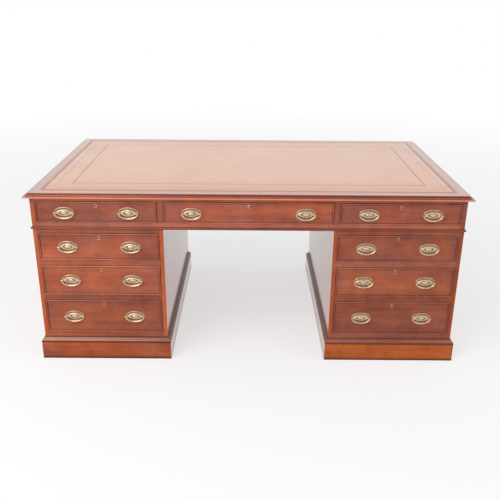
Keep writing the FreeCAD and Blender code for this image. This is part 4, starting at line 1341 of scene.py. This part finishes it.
for drawer in DRAWERS:
    front_low, front_high = corners(f"{drawer}_front")
    middle_x, over = (front_low[0] + front_high[0]) / 2, front_high[2]
    brassware = [
        keyhole(middle_x, over - KEYHOLE_DROP),
        board(about(middle_x, LOCK_SIZE[0] / 2), lock_y, (over - LOCK_SIZE[2], over)),
    ]
    for hand in SIDES:
        bail_low, bail_high = corners(f"{drawer}_handle_{hand}")
        x, z = (bail_low[0] + bail_high[0]) / 2, bail_high[2] - BARREL_RADIUS
        half_span = (bail_high[0] - bail_low[0]) / 2 - BARREL_RADIUS
        brassware.append(plate(x, z))
        for post_x in about(x, POST_SPACING / 2):
            brassware.append(turned(np.array((post_x, face_y, z)), -Y_AXIS, POST_OUTLINE))
            brassware.append(board(about(post_x, NUT_HALF), nut_y, about(z, NUT_HALF)))
        make_piece(
            f"{drawer}_bail_{hand}", bail(x, z, half_span), [brass], [f"{drawer}_handle_{hand}"], "patina",
            body=f"{drawer}_bail_{hand}")
    make_piece(
        f"{drawer}_brassware", brassware, [brass, keyhole_brass], [f"{drawer}_fittings"], "patina",
        body=drawer)

# %% [markdown]
# ## Finishing the CAD pieces that stay
#
# The drawer fronts with their dovetails, the linings and the runners are right as they are, so they only get
# finishes. Each drawer front is cut from another part of the tree: its pattern is moved by its own amount,
# and its tone and its lean to purple follow the photograph, where the left drawers are a little lighter.

# %% Give every kept node its finish
# Tone and plum
DRAWER_TONES = {
    "frieze_left_drawer": (1.07, 0.9),
    "frieze_middle_drawer": (1.28, 0.3),
    "frieze_right_drawer": (1.14, 0.5),
    "left_top_drawer": (1.16, 0.3),
    "left_middle_drawer": (1.10, 0.15),
    "left_bottom_drawer": (1.05, -0.15),
    "right_top_drawer": (0.98, 0.7),
    "right_middle_drawer": (1.04, -0.1),
    "right_bottom_drawer": (0.99, 0.5),
}
PATTERN_MOVE = np.array((0.37, 0.71, 0.53))
PINE_NODES = ("top_ground_panel", "frieze_runners", "left_pedestal_runners", "right_pedestal_runners")


def give(node, finish):
    """Puts one finish on a CAD node in place of what it came with."""
    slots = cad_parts[node].data.materials
    slots.clear()
    slots.append(finish)


for number, drawer in enumerate(DRAWERS):
    front_wood = mahogany(
        f"{drawer}_mahogany", "X", *DRAWER_TONES[drawer],
        moved=PATTERN_MOVE * number, front=corners(f"{drawer}_front"))
    give(f"{drawer}_front", front_wood)
    give(f"{drawer}_box", oak)
for node in PINE_NODES:
    give(node, pine)
print("kept CAD nodes", sum(not piece.hide_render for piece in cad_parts.values()))
